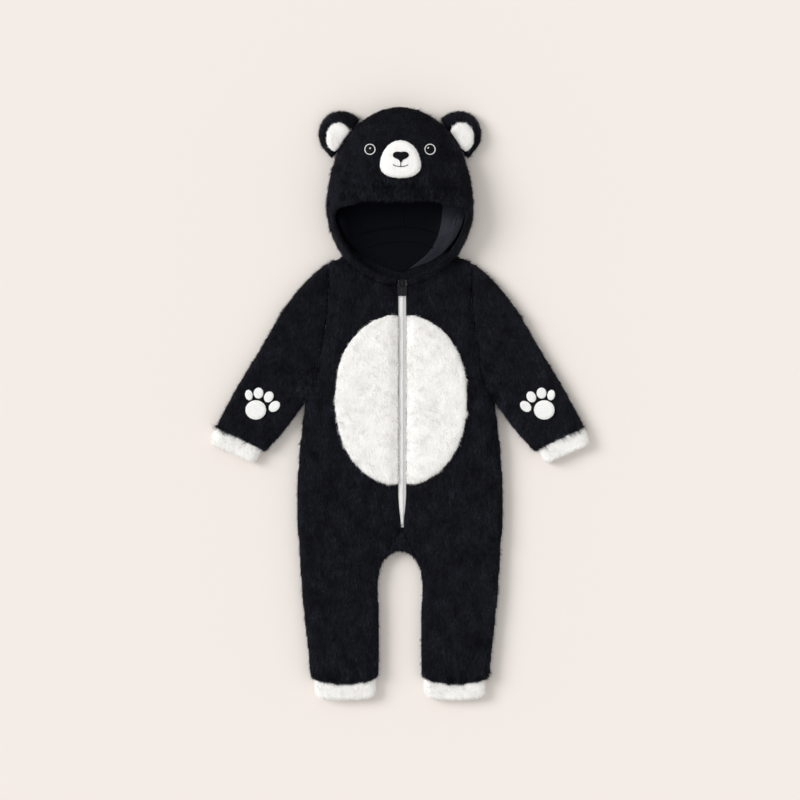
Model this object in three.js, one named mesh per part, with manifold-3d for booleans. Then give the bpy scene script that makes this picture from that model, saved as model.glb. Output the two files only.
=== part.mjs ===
// Baby's hooded bear romper in thick black plush, laid out flat on its back with its front up.
// Millimetres. +Z is up, +Y runs towards the hood, and the wearer's right is at -X. The floor is
// z = 0, and the origin is below the middle of the garment's length and width.
// The body, legs and sleeves lie with their panels on each other. The hood stands open above its
// back. Each piece that is cut and sewn is one closed wall, a small gap from its neighbours.

import * as THREE from 'three';
import { mergeVertices } from 'three/addons/utils/BufferGeometryUtils.js';
import Module from 'manifold-3d';

// Cloth: backing, pile and lining together
const WALL = 7;
const TOP = 17.5;
const SEAM_HEIGHT = 8.6;
const FOLD_RADIUS = 10;
const SEAM_GAP = 0.3;
const BUTT_GAP = 0.9;
const SEAM_DIP = 2.2;
const SEAM_DIP_WIDTH = 8;

// Zip, a little to the wearer's left of the middle
const ZIP_X = 3;
const SLOT_HALF = 5.8;
const SLOT_END_HALF = 2.5;
const SLOT_TAPER = 48;
const SLOT_END_Y = -171.2;

// Neck, shoulders and chest
const NECK_HALF = 79.75;
const SHOULDER_Y = 200;
const FRONT_NECK = { y: 160.2, rise: 40, power: 1.9 };
const BACK_NECK = { y: 231.7, fall: 31.7 };
const CHEST_Y = 100;

// Legs and crotch
const ARCH = { y: -249, rx: 31, ry: 46 };
const GUSSET_TOP_Y = -172.6;
const GUSSET_SIDE_Y = -217.6;
const GUSSET_SINK = 1.5;
const GUSSET_GAP = 1.5;
const GUSSET_FOLD_LEAD = 4;
const HEM_Y = -376;
const HEM_DROP = 9;
const HEM_DROP_REACH = 80;

// Outer edge of the body from the shoulder to the hem, as half widths
const SIDE_EDGE = [
  { y: 193.2, x: 97.6 }, { y: 171, x: 96.3 }, { y: 149, x: 96.3 }, { y: 119, x: 99 },
  { y: 100, x: 101.8 }, { y: 67, x: 108.6 }, { y: 24, x: 115.5 }, { y: 1, x: 130 },
  { y: -40.6, x: 134.8 }, { y: -73.6, x: 138.9 }, { y: -106.6, x: 140.3 },
  { y: -171.2, x: 140.3 }, { y: -216.6, x: 137 }, { y: -250, x: 135.5 },
  { y: -285, x: 132 }, { y: -326.6, x: 127.5 }, { y: -376, x: 122.4 },
];
const ARMPIT_Y = 1;
const ARMHOLE_ROWS = [CHEST_Y, 75, 50, 30, 15, ARMPIT_Y];

// Inner edge of each front below the zip, as half widths: beside the gusset, then down the inseam
const FRONT_INNER = [
  { y: -171.2, x: 2.5 }, { y: -189, x: 11.7 }, { y: -201.4, x: 18.6 }, { y: -218, x: 22.9 },
];
const INSEAM = [
  { y: -249, x: 31 }, { y: -285, x: 29.8 }, { y: -326.6, x: 29 }, { y: -376, x: 30.2 },
];

// Edges of a sleeve, from the shoulder and from the armpit down to the cuff
const SLEEVE_OUTER = [
  { x: 97.6, y: 193.2 }, { x: 115.5, y: 179.4 }, { x: 137.5, y: 157.4 }, { x: 162.3, y: 124.4 },
  { x: 191, y: 74.9 }, { x: 211.8, y: 41.9 }, { x: 231, y: 8.9 }, { x: 253.4, y: -33.2 },
];
const SLEEVE_INNER = [
  { x: 130, y: 1 }, { x: 147.1, y: -24 }, { x: 163, y: -44 }, { x: 183.5, y: -66.4 },
];

// Cuffs: the four corners in plan and the height of the upper face
const CUFF_TOP = 16;
const CUFF_WALL = 6.5;
const CUFF_SEAM_HEIGHT = 8;
const CUFF_CORNER = 7;
const SLEEVE_CUFF = {
  start: [{ x: 253.7, y: -33.9 }, { x: 189.8, y: -64.1 }],
  end: [{ x: 261.3, y: -55.7 }, { x: 198, y: -83.9 }],
};
const LEG_CUFF = { outer: 117, inner: 33, end: -407 };

// Hood
const HOOD = { y: 271.6, rx: 100.4, up: 135.4, down: 112.8 };
const HOOD_SEAM_RISE = 7.4;
const HOOD_SEAM_REACH = 50;
const HOOD_DOME = 42;
const HOOD_DOME_POWER = 2.4;
const HOOD_BACK_RADIUS = 34;
const OPENING = { y: 264.7, rx: 88.7, ry: 94.9, top: 278.5, xPower: 1.45, yPower: 1.95,
  cornerStart: 42, cornerReach: 50, cornerDrop: 16.8 };
const RIM_HEIGHT = 20;
const RIM_ROUND = 12;
const DOME_START = { y: 165, reach: 50 };
const RAY_CENTRE_Y = 234.4;
const RAY_START_DEPTH = 64.3;
const LINING = { thick: 1, clear: 0.9, fall: 34, outlineInset: 10.5, rimInset: 8.6, rimTop: 290,
  middle: { x: 0, y: 268 }, underStart: 256, underEnd: 282, rimClear: 2 };

// Ears
const EAR = { x: 79.75, y: 367.8, radius: 32.5, seam: 8, top: 17, round: 12, gap: 0.5,
  stem: 40, edgeHalf: 0.4 };
const INNER_EAR = { x: 83.9, y: 363, rx: 17, ry: 20, thick: 3.5, hoodClear: 1.6 };

// What is sewn on top
const APPLIQUE_GAP = 0.45;
const PAD_EDGE = 0.3;
const BELLY = { x: 1.4, y: 4.1, rx: 91.4, ry: 116.9, power: 2.15, thick: 4, edge: 9, spread: 1.4,
  reach: 0.985, slotClear: 0.4 };
const MUZZLE = { x: 0.6, y: 324, half: 29, up: 36.4, down: 17, upPower: 1.9, downPower: 2.3 };
const MUZZLE_THICK = 5;
const NOSE = { x: 1.1, y: 337.5, rx: 11, up: 6, down: 7.5, thick: 1.6 };
const EYE = { x: 41.2, y: 347.2, radius: 7.5, stroke: 1.7, thick: 1.2 };
const PALM = { x: 198.1, y: -10.2, rx: 14.2, ry: 13, thick: 1.5 };
const TOES = [
  { x: 207.6, y: 10.2, rx: 5.1, ry: 7.2, turn: 12 },
  { x: 194.4, y: 12.9, rx: 6.7, ry: 7.4, turn: 0 },
  { x: 180.3, y: 7.7, rx: 6.2, ry: 7.8, turn: -30 },
  { x: 172.6, y: -5.4, rx: 8.8, ry: 6.3, turn: 40 },
];

// Zip tapes, coil, slider and pull tab
const TAPE = { top: 168, bottom: -171.8, width: 11, foot: 10.2, face: 14.4, thick: 1, meet: 0.2,
  clear: 0.5, slope: 1.1 };
const COIL = { top: 156.8, bottom: -168, width: 4.4, thick: 2.4, z: 15.9 };
const SLIDER = { y: 157.2, length: 12, width: 10, low: 14.8, top: 17.2,
  bridge: { width: 3.4, foot: 4.2, head: 23.2, window: 2.1 } };
const PULL = { y: 164, z: 20, bar: 0.9, span: 8.8, arm: 1.6, reach: 5, length: 12.6, width: 13,
  thick: 1.8 };

// Soft folds in the upper panels: a line, the fold's half width, and its height (hollow if below 0)
const FOLDS = [
  { x0: -96, y0: 40, x1: -62, y1: 118, width: 9, height: -1.4 },
  { x0: 92, y0: 30, x1: 64, y1: 108, width: 9, height: -1.5 },
  { x0: -128, y0: -64, x1: -98, y1: -150, width: 12, height: 1.2 },
  { x0: 124, y0: -150, x1: 92, y1: -190, width: 10, height: -1.5 },
  { x0: -34, y0: -214, x1: -88, y1: -252, width: 9, height: -1.6 },
  { x0: 34, y0: -212, x1: 80, y1: -262, width: 9, height: -1.6 },
  { x0: -42, y0: -286, x1: -104, y1: -308, width: 8, height: -1.3 },
  { x0: 44, y0: -300, x1: 108, y1: -280, width: 8, height: -1.3 },
  { x0: -40, y0: -352, x1: -96, y1: -344, width: 7, height: -1.1 },
  { x0: 40, y0: -346, x1: 92, y1: -356, width: 7, height: -1.1 },
  { x0: -140, y0: 2, x1: -172, y1: 62, width: 8, height: -1.8 },
  { x0: 142, y0: -4, x1: 168, y1: 56, width: 8, height: -1.8 },
  { x0: -166, y0: -34, x1: -206, y1: 26, width: 7, height: -1.2 },
  { x0: 160, y0: -28, x1: 210, y1: 30, width: 7, height: -1.2 },
];

// Steps in from a folded edge, as shares of its radius: 0, 30, 60 and 90 degrees round the fold
const FOLD_STEPS = [0, 1 - Math.cos(Math.PI / 6), 1 - Math.cos(Math.PI / 3), 1];

const MATERIALS = {
  plush: { color: 0x0d0e13, roughness: 0.95 },
  white: { color: 0xf1eee8, roughness: 0.95 },
  satin: { color: 0xefeff0, roughness: 0.5 },
  dark: { color: 0x15151a, roughness: 0.7 },
  lining: { color: 0x1b1d26, roughness: 0.6 },
  tape: { color: 0xf2f0ea, roughness: 0.8 },
  coil: { color: 0xd5d4d0, roughness: 0.4 },
  enamel: { color: 0x2a2b31, roughness: 0.35, metalness: 0.5 },
};

// A place this near a line of points counts as on it
const ON_LINE = 0.8;

const romper = new THREE.Group();

function addMesh(name, geometry, finish) {
  const mesh = new THREE.Mesh(geometry, new THREE.MeshStandardMaterial(MATERIALS[finish]));
  mesh.name = name;
  romper.add(mesh);
  return mesh;
}

const mix = (a, b, t) => a + (b - a) * t;
const clamp01 = (t) => Math.min(1, Math.max(0, t));
const smooth = (t) => clamp01(t) ** 2 * (3 - 2 * clamp01(t));

// Height of a quarter round, 0 at its foot and 1 where it meets the flat
const quarter = (t) => Math.sqrt(1 - (1 - clamp01(t)) ** 2);

// Value of x in a table of falling y, on a smooth curve through its rows
function xAt(table, y) {
  const last = table.length - 1;
  let row = 0;
  while (row < last - 1 && y < table[row + 1].y) row++;
  const a = table[row];
  const b = table[row + 1];
  const slope = (p, q) => (q.x - p.x) / (q.y - p.y);
  const before = row > 0 ? slope(table[row - 1], b) : slope(a, b);
  const after = row < last - 1 ? slope(a, table[row + 2]) : slope(a, b);
  const step = b.y - a.y;
  const t = clamp01((y - a.y) / step);
  return (2 * t ** 3 - 3 * t ** 2 + 1) * a.x + (t ** 3 - 2 * t ** 2 + t) * step * before
    + (3 * t ** 2 - 2 * t ** 3) * b.x + (t ** 3 - t ** 2) * step * after;
}

// Points along a table's smooth curve, evenly spaced by length
function walk(table, count) {
  const points = table.map((row) => new THREE.Vector3(row.x, row.y, 0));
  return new THREE.CatmullRomCurve3(points, false, 'centripetal').getSpacedPoints(count);
}

// Nearest distance from a plan point to a line of points, with the direction away from the line
function fromLine(line, x, y) {
  let best = { d: Infinity, nx: 0, ny: 0 };
  for (let i = 0; i < line.length - 1; i++) {
    const a = line[i];
    const b = line[i + 1];
    const length2 = (b.x - a.x) ** 2 + (b.y - a.y) ** 2;
    const t = clamp01(((x - a.x) * (b.x - a.x) + (y - a.y) * (b.y - a.y)) / length2);
    const dx = x - mix(a.x, b.x, t);
    const dy = y - mix(a.y, b.y, t);
    const d = Math.hypot(dx, dy);
    if (d >= best.d) continue;
    const inward = d > ON_LINE
      ? { nx: dx / d, ny: dy / d }
      : { nx: (b.y - a.y) / Math.sqrt(length2), ny: (a.x - b.x) / Math.sqrt(length2) };
    best = { d, ...inward };
  }
  return best;
}

const mirrored = (line) => line.map((p) => new THREE.Vector3(-p.x, p.y, p.z)).reverse();

// A closed wall from one or more patches, each with matching rows of outer and inner points.
// Patches that share an edge are joined there, and every open edge is walled between the faces.
function wallSolid(patches) {
  const points = [];
  const inner = [];
  const index = new Map();
  const faces = [];
  const key = (p) => [p.x, p.y, p.z].map((v) => Math.round(v * 500)).join();
  const add = (p, q) => {
    const name = key(p);
    if (!index.has(name)) {
      index.set(name, points.length);
      points.push(p);
      inner.push(q);
    }
    return index.get(name);
  };
  for (const { outer, lower, flip, round } of patches) {
    const ids = outer.map((row, r) => row.map((p, c) => add(p, lower[r][c])));
    for (let r = 0; r < ids.length - 1; r++) {
      const columns = ids[r].length - (round ? 0 : 1);
      for (let c = 0; c < columns; c++) {
        const next = (c + 1) % ids[r].length;
        const quad = [ids[r][c], ids[r][next], ids[r + 1][next], ids[r + 1][c]];
        if (flip) quad.reverse();
        faces.push([quad[0], quad[1], quad[2]], [quad[0], quad[2], quad[3]]);
      }
    }
  }
  const kept = faces.filter(([a, b, c]) => a !== b && b !== c && c !== a);
  const directed = new Set(kept.flatMap(([a, b, c]) => [`${a},${b}`, `${b},${c}`, `${c},${a}`]));
  const n = points.length;
  const all = [...kept, ...kept.map(([a, b, c]) => [a + n, c + n, b + n])];
  for (const edge of directed) {
    const [a, b] = edge.split(',').map(Number);
    if (directed.has(`${b},${a}`)) continue;
    all.push([b, a, a + n], [b, a + n, b + n]);
  }
  return solid([...points, ...inner], all);
}

// A geometry from points and triangles, turned so that its faces point out
function solid(points, faces) {
  let volume = 0;
  const cross = new THREE.Vector3();
  for (const [a, b, c] of faces) volume += points[a].dot(cross.crossVectors(points[b], points[c]));
  const turned = volume < 0 ? faces.map(([a, b, c]) => [a, c, b]) : faces;
  const geometry = new THREE.BufferGeometry().setFromPoints(points);
  geometry.setIndex(turned.flat());
  return geometry;
}

// Distance into a panel from its folded edges, as a height share and an inward shift
function foldState(folds, x, y, radius) {
  let height = 1;
  const shift = { x: 0, y: 0 };
  for (const line of folds) {
    const near = fromLine(line, x, y);
    if (near.d >= radius) continue;
    const facing = line.inward;
    const facesAway = facing && near.nx * (facing.x - x) + near.ny * (facing.y - y) < 0;
    const turn = near.d <= ON_LINE && facesAway;
    height *= quarter(near.d / radius);
    shift.x += (turn ? -near.nx : near.nx) * (1 - near.d / radius);
    shift.y += (turn ? -near.ny : near.ny) * (1 - near.d / radius);
  }
  return { height, shift };
}

// The armhole, as places in plan from the shoulder to the armpit
const armholeLine = Array.from({ length: 49 }, (_, i) => {
  const y = mix(SIDE_EDGE[0].y, ARMPIT_Y, i / 48);
  return new THREE.Vector3(xAt(SIDE_EDGE, y), y, 0);
});

// Height that folds and seams add to the upper face
function relief(x, y) {
  let height = 0;
  for (const fold of FOLDS) {
    const line = [{ x: fold.x0, y: fold.y0 }, { x: fold.x1, y: fold.y1 }];
    height += fold.height * Math.exp(-((fromLine(line, x, y).d / fold.width) ** 2));
  }
  const seam = fromLine(armholeLine, Math.abs(x), y).d / SEAM_DIP_WIDTH;
  return height - SEAM_DIP * Math.exp(-(seam ** 2));
}

// Outer and inner points of an upper or lower panel at a place in plan
function clothPoint(x, y, folds, face, top = TOP) {
  const { height, shift } = foldState(folds, x, y, FOLD_RADIUS);
  const rise = (face > 0 ? top - SEAM_HEIGHT : SEAM_HEIGHT) - SEAM_GAP / 2;
  const extra = face > 0 ? relief(x, y) * height : 0;
  const foot = SEAM_HEIGHT + face * SEAM_GAP / 2;
  return {
    outer: new THREE.Vector3(x, y, foot + face * rise * height + extra),
    inner: new THREE.Vector3(x + shift.x * WALL, y + shift.y * WALL,
      foot + face * (rise - WALL) * height + extra),
  };
}

// Splits a grid of places in plan into the outer and inner points of a panel
function clothPatch(plan, folds, face, top) {
  const cells = plan.map((row) => row.map((p) => clothPoint(p.x, p.y, folds, face, top)));
  return {
    outer: cells.map((row) => row.map((cell) => cell.outer)),
    lower: cells.map((row) => row.map((cell) => cell.inner)),
  };
}

// Widths across a row of a panel: folded steps at each side and even steps between
function acrossSteps(width, middle) {
  const left = FOLD_STEPS.map((s) => s * FOLD_RADIUS / width);
  const right = left.map((u) => 1 - u).reverse();
  const between = [];
  for (let i = 1; i <= middle; i++) between.push(mix(left[3], right[0], i / (middle + 1)));
  return [...left, ...between, ...right];
}

// The arch between the legs, as a half width at a height and as a line of points
const archHalf = (y) => ARCH.rx * Math.sqrt(Math.max(0, 1 - ((y - ARCH.y) / ARCH.ry) ** 2));
const archY = (x) => ARCH.y + ARCH.ry * Math.sqrt(1 - (x / ARCH.rx) ** 2);
const ARCH_TOP = ARCH.y + ARCH.ry;

function archLine(side) {
  const line = [];
  for (let i = 0; i <= 24; i++) {
    const angle = (i / 24) * Math.PI / 2;
    const x = side * ARCH.rx * Math.sin(angle);
    line.push(new THREE.Vector3(x, ARCH.y + ARCH.ry * Math.cos(angle), 0));
  }
  for (let i = 1; i <= 16; i++) {
    const y = mix(ARCH.y, HEM_Y - 10, i / 16);
    line.push(new THREE.Vector3(side * xAt(INSEAM, y), y, 0));
  }
  line.inward = { x: side * SIDE_EDGE[10].x, y: -150 };
  return line;
}

// The folded side from the armpit down, and the shoulder from the sleeve to the hood
function sideLine(side) {
  const line = [];
  for (let i = 0; i <= 40; i++) {
    const y = mix(ARMPIT_Y, HEM_Y - 10, i / 40);
    line.push(new THREE.Vector3(side * xAt(SIDE_EDGE, y), y, 0));
  }
  line.inward = { x: 0, y: -150 };
  return line;
}

function shoulderLine(side) {
  const line = [new THREE.Vector3(side * SIDE_EDGE[0].x, SIDE_EDGE[0].y, 0),
    new THREE.Vector3(side * NECK_HALF, SHOULDER_Y, 0)];
  line.inward = { x: side * 80, y: 100 };
  return line;
}

const frontNeckY = (x) => FRONT_NECK.y
  + FRONT_NECK.rise * (Math.abs(x) / NECK_HALF) ** FRONT_NECK.power;
const backNeckY = (x) => BACK_NECK.y - BACK_NECK.fall * (x / NECK_HALF) ** 2;

// Top of a body panel at a share of the way from the shoulder's end to its middle edge
function topEdge(u, side, middleX, neckY) {
  const shoulder = (SIDE_EDGE[0].x - NECK_HALF) / SIDE_EDGE[0].x;
  if (u < shoulder) {
    const t = u / shoulder;
    const x = side * mix(SIDE_EDGE[0].x, NECK_HALF, t);
    return { x, y: mix(SIDE_EDGE[0].y, SHOULDER_Y, t) };
  }
  const x = mix(side * NECK_HALF, middleX, (u - shoulder) / (1 - shoulder));
  return { x, y: neckY(x) };
}

// Rows of the chest, from the shoulder and neck down to a level row
function chestRows(side, middleX, neckY, middle, rows) {
  const width = Math.abs(side * SIDE_EDGE[0].x - middleX);
  const steps = acrossSteps(width, middle);
  const start = { x: side * SIDE_EDGE[0].x, y: SIDE_EDGE[0].y };
  const end = { x: side * xAt(SIDE_EDGE, CHEST_Y), y: CHEST_Y };
  const fall = SIDE_EDGE[0].y - CHEST_Y;
  const down = FOLD_STEPS.map((s) => s * FOLD_RADIUS / fall);
  for (let i = 1; i < rows; i++) down.push(mix(down[3], 1, i / rows));
  return down.map((g) => steps.map((u) => {
    const top = topEdge(u, side, middleX, neckY);
    const low = mix(end.x, middleX, u);
    const y = mix(start.y, end.y, g);
    const bulge = (1 - u) * (side * xAt(SIDE_EDGE, y) - mix(start.x, end.x, g));
    return { x: mix(top.x, low, g) + bulge, y: mix(top.y, CHEST_Y, g) };
  }));
}

// A level row of a panel between its side and its middle edge, curved down towards the hem
function levelRow(side, y, middleX, middle) {
  const edge = side * xAt(SIDE_EDGE, y);
  const drop = HEM_DROP * smooth((HEM_Y + HEM_DROP_REACH - y) / HEM_DROP_REACH);
  return acrossSteps(Math.abs(edge - middleX), middle).map((u) => ({
    x: mix(edge, middleX, u), y: y - drop * Math.sin(Math.PI * u) ** 0.7,
  }));
}

// Middle edge of a front: beside the zip, then the gusset, then down the inseam
function frontMiddle(side, y) {
  if (y >= SLOT_END_Y) {
    const taper = smooth((y - SLOT_END_Y) / SLOT_TAPER);
    return ZIP_X + side * mix(SLOT_END_HALF, SLOT_HALF, taper);
  }
  const lean = ZIP_X * smooth((y - GUSSET_SIDE_Y) / (SLOT_END_Y - GUSSET_SIDE_Y));
  if (y > GUSSET_SIDE_Y) return side * xAt(FRONT_INNER, y) + lean;
  return side * (y > ARCH.y ? archHalf(y) : xAt(INSEAM, y));
}

const bodyFolds = (side) => [shoulderLine(side), sideLine(side)];

function makeFront(side, name) {
  const columns = 4;
  const rows = [...ARMHOLE_ROWS, -34, -74, -107, -140, -160, SLOT_END_Y, -180, -189, -201.4, -209,
    GUSSET_SIDE_Y, -228, ARCH.y, -270, -300, -330, -355, HEM_Y];
  const plan = [
    ...chestRows(side, frontMiddle(side, CHEST_Y), frontNeckY, columns, 3),
    ...rows.map((y) => levelRow(side, y, frontMiddle(side, y), columns)),
  ];
  const inseam = archLine(side);
  const low = inseam.filter((p) => p.y < GUSSET_SIDE_Y + GUSSET_FOLD_LEAD);
  low.inward = inseam.inward;
  const folds = [...bodyFolds(side), low];
  return addMesh(name, wallSolid([clothPatch(plan, folds, 1)]), 'plush');
}

function makeBack() {
  const columns = 3;
  const rows = [...ARMHOLE_ROWS, -60, -120, -165, ARCH_TOP + 10, ARCH_TOP + 5, ARCH_TOP + 1.34,
    ARCH_TOP, -206, -211, -218, -230, ARCH.y, -275, -315, -350, HEM_Y];
  const patches = [-1, 1].map((side) => {
    const middleX = (y) => {
      if (y >= ARCH_TOP) return 0;
      return side * (y > ARCH.y ? archHalf(y) : xAt(INSEAM, y));
    };
    const plan = [
      ...chestRows(side, 0, backNeckY, columns, 3),
      ...rows.map((y) => levelRow(side, y, middleX(y), columns)),
    ];
    const patch = clothPatch(plan, [...bodyFolds(side), archLine(side)], -1);
    return { ...patch, flip: side > 0 };
  });
  addMesh('back', wallSolid(patches), 'plush');
}

// Crotch gusset between the fronts: a point at the zip, widening to the arch
function makeGusset() {
  const columns = 12;
  const rows = 8;
  const plan = [];
  for (let r = 0; r <= rows; r++) {
    const share = 1 - (1 - r / rows) ** 1.5;
    const sideY = mix(GUSSET_TOP_Y, GUSSET_SIDE_Y, share);
    const right = frontMiddle(-1, sideY) + GUSSET_GAP;
    const left = frontMiddle(1, sideY) - GUSSET_GAP;
    const row = [];
    for (let c = 0; c <= columns; c++) {
      const x = mix(right, left, c / columns);
      const lowX = mix(frontMiddle(-1, GUSSET_SIDE_Y) + GUSSET_GAP,
        frontMiddle(1, GUSSET_SIDE_Y) - GUSSET_GAP, c / columns);
      row.push({ x, y: sideY + (archY(lowX) - GUSSET_SIDE_Y) * share ** 2 });
    }
    plan.push(row);
  }
  const arch = [...mirrored(archLine(1)), ...archLine(1).slice(1)];
  const patch = clothPatch(plan, [arch], 1, TOP - GUSSET_SINK);
  patch.lower.forEach((row, r) => row.forEach((p, c) => {
    const from = plan[r][c];
    const to = plan[Math.floor(r / 2)][c];
    const inset = WALL * (1 - clamp01(fromLine(arch, from.x, from.y).d / FOLD_RADIUS));
    const share = inset > 0 ? inset / Math.hypot(to.x - from.x, to.y - from.y) : 0;
    p.x = mix(from.x, to.x, share);
    p.y = mix(from.y, to.y, share);
  }));
  addMesh('gusset', wallSolid([patch]), 'plush');
}

// A flattened tube from rows of places across it, each from its outer to its inner edge. The
// first and last four places of a row lie on the folds.
function flatTube(rows, size) {
  const { top = TOP, wall = WALL, seam = SEAM_HEIGHT } = size;
  const rings = rows.map((row) => {
    const last = row.length - 1;
    const cell = (c, face) => {
      const p = row[c];
      const step = FOLD_STEPS[Math.min(c, last - c, 3)];
      const towards = row[Math.round(last / 2)];
      const reach = Math.hypot(towards.x - p.x, towards.y - p.y) || 1;
      const inset = wall * (1 - step) / reach;
      const extra = face > 0 && !size.plain ? relief(p.x, p.y) * quarter(step) : 0;
      const rise = (face > 0 ? top - seam : seam) * quarter(step);
      const innerRise = (face > 0 ? top - seam - wall : seam - wall) * quarter(step);
      return {
        outer: new THREE.Vector3(p.x, p.y, seam + face * rise + extra),
        inner: new THREE.Vector3(mix(p.x, towards.x, inset), mix(p.y, towards.y, inset),
          seam + face * innerRise + extra),
      };
    };
    const upper = row.map((_, c) => cell(c, 1));
    const lower = row.map((_, c) => cell(c, -1)).slice(1, -1).reverse();
    return [...upper, ...lower];
  });
  return wallSolid([{
    outer: rings.map((ring) => ring.map((p) => p.outer)),
    lower: rings.map((ring) => ring.map((p) => p.inner)),
    round: true,
  }]);
}

function makeSleeve(side, name) {
  const rowCount = 13;
  const middle = 3;
  const outer = walk(SLEEVE_OUTER, rowCount);
  const inner = walk(SLEEVE_INNER, rowCount);
  const curve = new THREE.CatmullRomCurve3(armholeLine, false, 'centripetal');
  const rows = [];
  for (let r = 0; r <= rowCount; r++) {
    const width = outer[r].distanceTo(inner[r]);
    const pull = (1 - r / rowCount) ** 3;
    rows.push(acrossSteps(width, middle).map((u) => {
      const seam = curve.getPointAt(u);
      const bend = { x: seam.x - mix(outer[0].x, inner[0].x, u),
        y: seam.y - mix(outer[0].y, inner[0].y, u) };
      return {
        x: side * (mix(outer[r].x, inner[r].x, u) + bend.x * pull + BUTT_GAP * 1.1 * pull),
        y: mix(outer[r].y, inner[r].y, u) + bend.y * pull,
      };
    }));
  }
  return addMesh(name, flatTube(rows, {}), 'plush');
}

// A short tube between two pairs of corners, with its far corners rounded
function makeCuff(start, end, name) {
  const steps = [0, 0.12, 0.5, 0.8, 1];
  const rows = steps.map((v) => {
    const a = { x: mix(start[0].x, end[0].x, v), y: mix(start[0].y, end[0].y, v) };
    const b = { x: mix(start[1].x, end[1].x, v), y: mix(start[1].y, end[1].y, v) };
    const width = Math.hypot(a.x - b.x, a.y - b.y);
    const late = Math.max(0, (v - 0.5) / 0.5);
    const cut = CUFF_CORNER * 0.5 * (1 - Math.sqrt(1 - late ** 2)) / width;
    return acrossSteps(width, 3).map((u) => {
      const t = mix(cut, 1 - cut, u);
      return { x: mix(a.x, b.x, t), y: mix(a.y, b.y, t) };
    });
  });
  const size = { top: CUFF_TOP, wall: CUFF_WALL, seam: CUFF_SEAM_HEIGHT, plain: true };
  addMesh(name, flatTube(rows, size), 'white');
}

function makeLegCuff(side, name) {
  const middle = 5;
  const outer = side * LEG_CUFF.outer;
  const inner = side * LEG_CUFF.inner;
  const hem = levelRow(side, HEM_Y, frontMiddle(side, HEM_Y), 40);
  const hemY = (x) => {
    const i = hem.findIndex((p, k) => k < hem.length - 1
      && (p.x - x) * (hem[k + 1].x - x) <= 0);
    const t = (x - hem[i].x) / (hem[i + 1].x - hem[i].x);
    return mix(hem[i].y, hem[i + 1].y, t);
  };
  const rows = [0, 0.15, 0.6, 0.85, 1].map((v) => {
    const late = Math.max(0, (v - 0.6) / 0.4);
    const cut = CUFF_CORNER * 0.6 * (1 - Math.sqrt(1 - late ** 2)) / Math.abs(outer - inner);
    return acrossSteps(Math.abs(outer - inner), middle).map((u) => {
      const x = mix(outer, inner, mix(cut, 1 - cut, u));
      const end = LEG_CUFF.end + 3.5 * Math.abs(2 * u - 1) ** 4;
      return { x, y: mix(hemY(x) - BUTT_GAP, end, v) };
    });
  });
  const size = { top: CUFF_TOP, wall: CUFF_WALL, seam: CUFF_SEAM_HEIGHT, plain: true };
  addMesh(name, flatTube(rows, size), 'white');
}

// Hood: seam height, outline and dome
const hoodSeam = (y) => SEAM_HEIGHT + HOOD_SEAM_RISE * smooth((y - SHOULDER_Y) / HOOD_SEAM_REACH);
const hoodTall = (y) => (y > HOOD.y ? HOOD.up : HOOD.down);
const hoodReach = (x, y) => Math.hypot(x / HOOD.rx, (y - HOOD.y) / hoodTall(y));
const hoodDome = (x, y) => hoodSeam(y)
  + HOOD_DOME * Math.sqrt(Math.max(0, 1 - Math.min(1, hoodReach(x, y)) ** HOOD_DOME_POWER));

// Share of the dome in the face's height, from the flat strip at the throat up
const domeShare = (y) => smooth((y - DOME_START.y) / DOME_START.reach);

const hoodLine = Array.from({ length: 73 }, (_, i) => {
  const low = Math.asin((SHOULDER_Y - HOOD.y) / HOOD.down);
  const angle = mix(low, Math.PI - low, i / 72);
  const tall = Math.sin(angle) > 0 ? HOOD.up : HOOD.down;
  return new THREE.Vector3(HOOD.rx * Math.cos(angle), HOOD.y + tall * Math.sin(angle), 0);
});

// The mouth of the hood: a rounded V below, and a turned hem across the forehead above
function inMouth(x, y) {
  const across = Math.abs(x);
  if (y > OPENING.y) {
    const drop = OPENING.cornerDrop * smooth((across - OPENING.cornerStart) / OPENING.cornerReach);
    return across < OPENING.rx && y < OPENING.top - drop;
  }
  return (across / OPENING.rx) ** OPENING.xPower
    + ((OPENING.y - y) / OPENING.ry) ** OPENING.yPower < 1;
}

// Distance along a ray to where a region ends
function reach(inside, cx, cy, dx, dy) {
  let near = 0;
  let far = 400;
  for (let i = 0; i < 40; i++) {
    const middle = (near + far) / 2;
    if (inside(cx + dx * middle, cy + dy * middle)) near = middle;
    else far = middle;
  }
  return near;
}

// Height of the outer face at the hood's outline, where it meets the fronts or its own back
function outlineState(x, y) {
  if (y > SHOULDER_Y) return { z: hoodSeam(y) + SEAM_GAP / 2, seam: 0 };
  const from = fromLine(shoulderLine(Math.sign(x) || 1), x, y).d;
  const seam = quarter(from / FOLD_RADIUS);
  const foot = SEAM_HEIGHT + SEAM_GAP / 2;
  return { z: mix(foot, TOP, seam), seam };
}

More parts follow.
